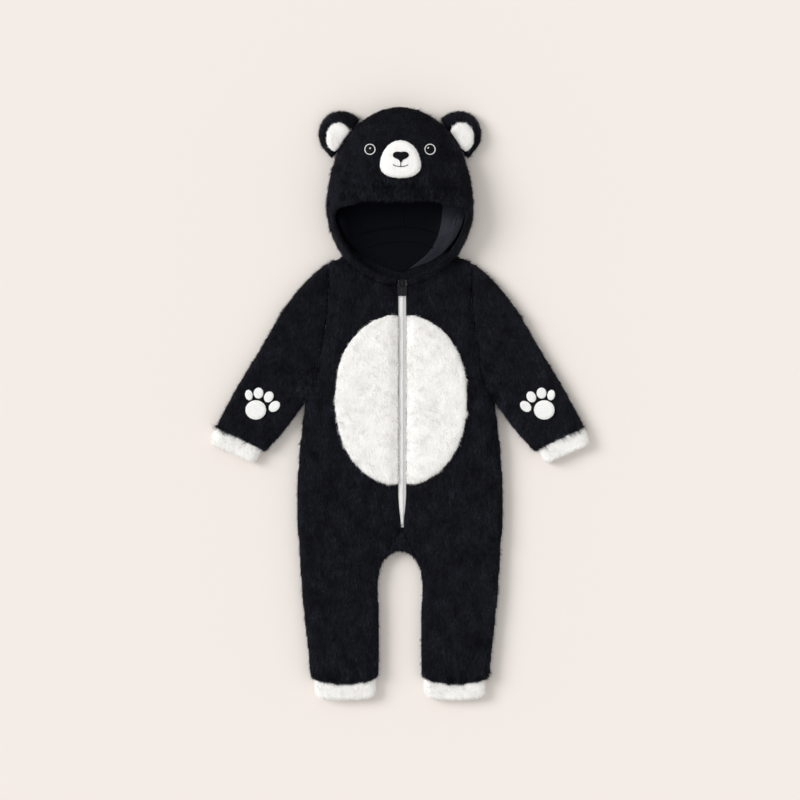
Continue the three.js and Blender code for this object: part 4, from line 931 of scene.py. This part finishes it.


# Inside the hood, in mm: seams with their width and crown, and the two edges of the facings
LINING_SEAMS = {
    "seam_hood_middle": ([(4, 276), (4.4, 258), (4, 240)], 2.6, 0.9),
    "seam_neck": ([(-58, 229.5), (-30, 237), (4, 240.5), (28, 238), (50, 231.5)], 3.0, 1.2),
    "edge_neck_facing": ([(-44, 213), (-20, 219), (4, 221), (26, 219), (46, 212)], 2.0, 0.8),
}
NECK_ALLOWANCE = [(x, 231.7 - 31.7 * (x / 79.75) ** 2) for x in (-70, -55, -35, 0, 35, 55, 70)]
FACING_IN = [(57, 277), (57, 262), (54, 240), (47, 220), (35, 203), (12, 184)]
FACING_OUT = [(88, 277), (88, 262), (82, 240), (69, 218), (47, 198), (12, 183)]
FACING_CENTRE = 1.1
SIDE_SEAM_INSET = 4
SIDE_SEAM_FOOT = 186
SIDE_SEAM_HEIGHTS = (2.5, 6, 10, 14, 17.5)


def sew_lining(lining):
    host = resting_on(lining)
    welt("seam_allowance_neck", NECK_ALLOWANCE, 15, 0.6, level(5.5), *LINING)
    for name, (points, width, crown) in LINING_SEAMS.items():
        welt(name, points, width, crown, host, *LINING)
    for word, side in SIDES.items():
        inner = smooth_line(FACING_IN, SEAM_PITCH)
        outer = smooth_line(FACING_OUT, SEAM_PITCH)
        outer = outer[np.linspace(0, len(outer) - 1, len(inner)).astype(int)]
        rows = []
        for share in np.linspace(0, 1, 9):
            place = ((inner + (outer - inner) * share) * (side, 1) + (FACING_CENTRE, 0)) * MM
            rows.append(np.column_stack([place, host(place) + 0.5 * MM * min(1, 6 * share)]))
        # Painted light: both strips are one cloth, but the lit side's strip takes the lighter colour
        # and the other side's the dark lining
        strip_from(f"facing_hood_{word}", rows, "facing_painted_lit" if side > 0 else "lining", "hood_lining")


def sew_hood_seam():
    """The seam allowance inside the hood's walls, from shoulder to shoulder over the crown."""
    line, out = walk_outline(plan_outline("hood_face") / MM, 2.0)
    line = line - out * SIDE_SEAM_INSET
    kept = line[:, 1] > SIDE_SEAM_FOOT
    start = int(np.flatnonzero(kept & ~np.roll(kept, 1))[0])
    line = np.roll(line, -start, axis=0)[:kept.sum()]
    rows = [np.column_stack([line, np.full(len(line), z)]) * MM for z in SIDE_SEAM_HEIGHTS]
    strip_from("seam_hood_side", rows, *BLACK_SHELL)


def zip_tape(name, side):
    """A tape under the front's edge that rises beside the coil, and lower down at the slider."""
    y = np.linspace(TAPE_TOP, SLOT_END_Y - 0.6, TAPE_STEPS)
    edge = slot_edge(y)
    down = 1 / (1 + np.exp(-(y - SLIDER_LOW + 6) / 1.6))
    face = TAPE_FACE + TAPE_RISE * (1 - down)
    rows = [np.column_stack([ZIP_X + side * share * edge, y, face + drop]) * MM
            for share, drop in TAPE_PROFILE]
    far = edge + TAPE_HIDDEN * (0.55 + 0.45 * slot_taper(y))
    foot = np.full(len(y), TAPE_EDGE_HEIGHT)
    rows.append(np.column_stack([ZIP_X + side * far, y, foot]) * MM)
    return strip_from(name, rows, "tape", "zip_tape")


def build_zip():
    for word, side in SIDES.items():
        tape = zip_tape(f"tape_zip_{word}", side)
        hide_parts(f"zip_tape_{word}")
    teeth = []
    for i in range(int(COIL_LENGTH / COIL_PITCH)):
        y = COIL_TOP - i * COIL_PITCH
        teeth.append((ZIP_X - COIL_REACH, y, ZIP_X + COIL_CROSS, y - 0.3))
        teeth.append((ZIP_X - COIL_CROSS, y - 0.45, ZIP_X + COIL_REACH, y - 0.75))
    coil = stitches("coil_zip", teeth, level(COIL_BASE), "coil", "zip_coil", 0.95, COIL_CROWN)
    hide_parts("zip_coil")
    rib = [(ZIP_X, RIB_ENDS[0], ZIP_X, RIB_ENDS[1])]
    on_pull = level(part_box("zip_pull")[1].z / MM - 0.1)
    stitches("rib_zip_pull", rib, on_pull, "enamel", "zip_enamel", 1.8, 0.7, body="zip_pull")


# What keeps its solid's shape

def finish_nodes():
    finishes = {"zip_slider": "enamel", "zip_pull": "enamel"}
    for word in SIDES:
        finishes[f"palm_{word}"] = "white_satin"
        for i in range(1, 5):
            finishes[f"toe_{word}_{i}"] = "white_satin"
    for name, finish in finishes.items():
        nodes[name].data.materials.clear()
        nodes[name].data.materials.append(FINISHES[finish])


# Stage

def build_stage():
    size = FLOOR_HALF
    points = [(-size, -size, 0), (size, -size, 0), (size, size, 0), (-size, size, 0)]
    mesh = mesh_from("floor", points, [(0, 1, 2, 3)])
    floor = bpy.data.objects.new("floor", mesh)
    bpy.context.scene.collection.objects.link(floor)
    mesh.materials.append(material("paper", PAPER, 0.9, specular=0.1)[0])

    camera = bpy.data.cameras.new("camera")
    camera.lens = LENS
    camera.sensor_width = SENSOR
    eye = bpy.data.objects.new("camera", camera)
    eye.location = (0, AIM_Y, VIEW_WIDTH * LENS / SENSOR)
    bpy.context.scene.collection.objects.link(eye)
    bpy.context.scene.camera = eye

    lamp = bpy.data.lights.new("key", "SUN")
    lamp.energy = KEY_STRENGTH
    lamp.angle = math.radians(KEY_ANGLE)
    light = bpy.data.objects.new("key", lamp)
    light.location = KEY_FROM
    light.rotation_euler = (-Vector(KEY_FROM)).to_track_quat("-Z", "Y").to_euler()
    bpy.context.scene.collection.objects.link(light)
    world = bpy.data.worlds.new("studio")
    world.use_nodes = True
    background = world.node_tree.nodes["Background"]
    background.inputs["Color"].default_value = WORLD_COLOR
    background.inputs["Strength"].default_value = WORLD_STRENGTH
    bpy.context.scene.world = world
    bpy.context.scene.view_settings.view_transform = "Standard"


build_stage()
build_plush()
hood_mesh, lining_mesh, muzzle_mesh = build_hood()
sew_face(hood_mesh, muzzle_mesh)
sew_paws()
sew_lining(lining_mesh)
sew_hood_seam()
build_zip()
finish_nodes()
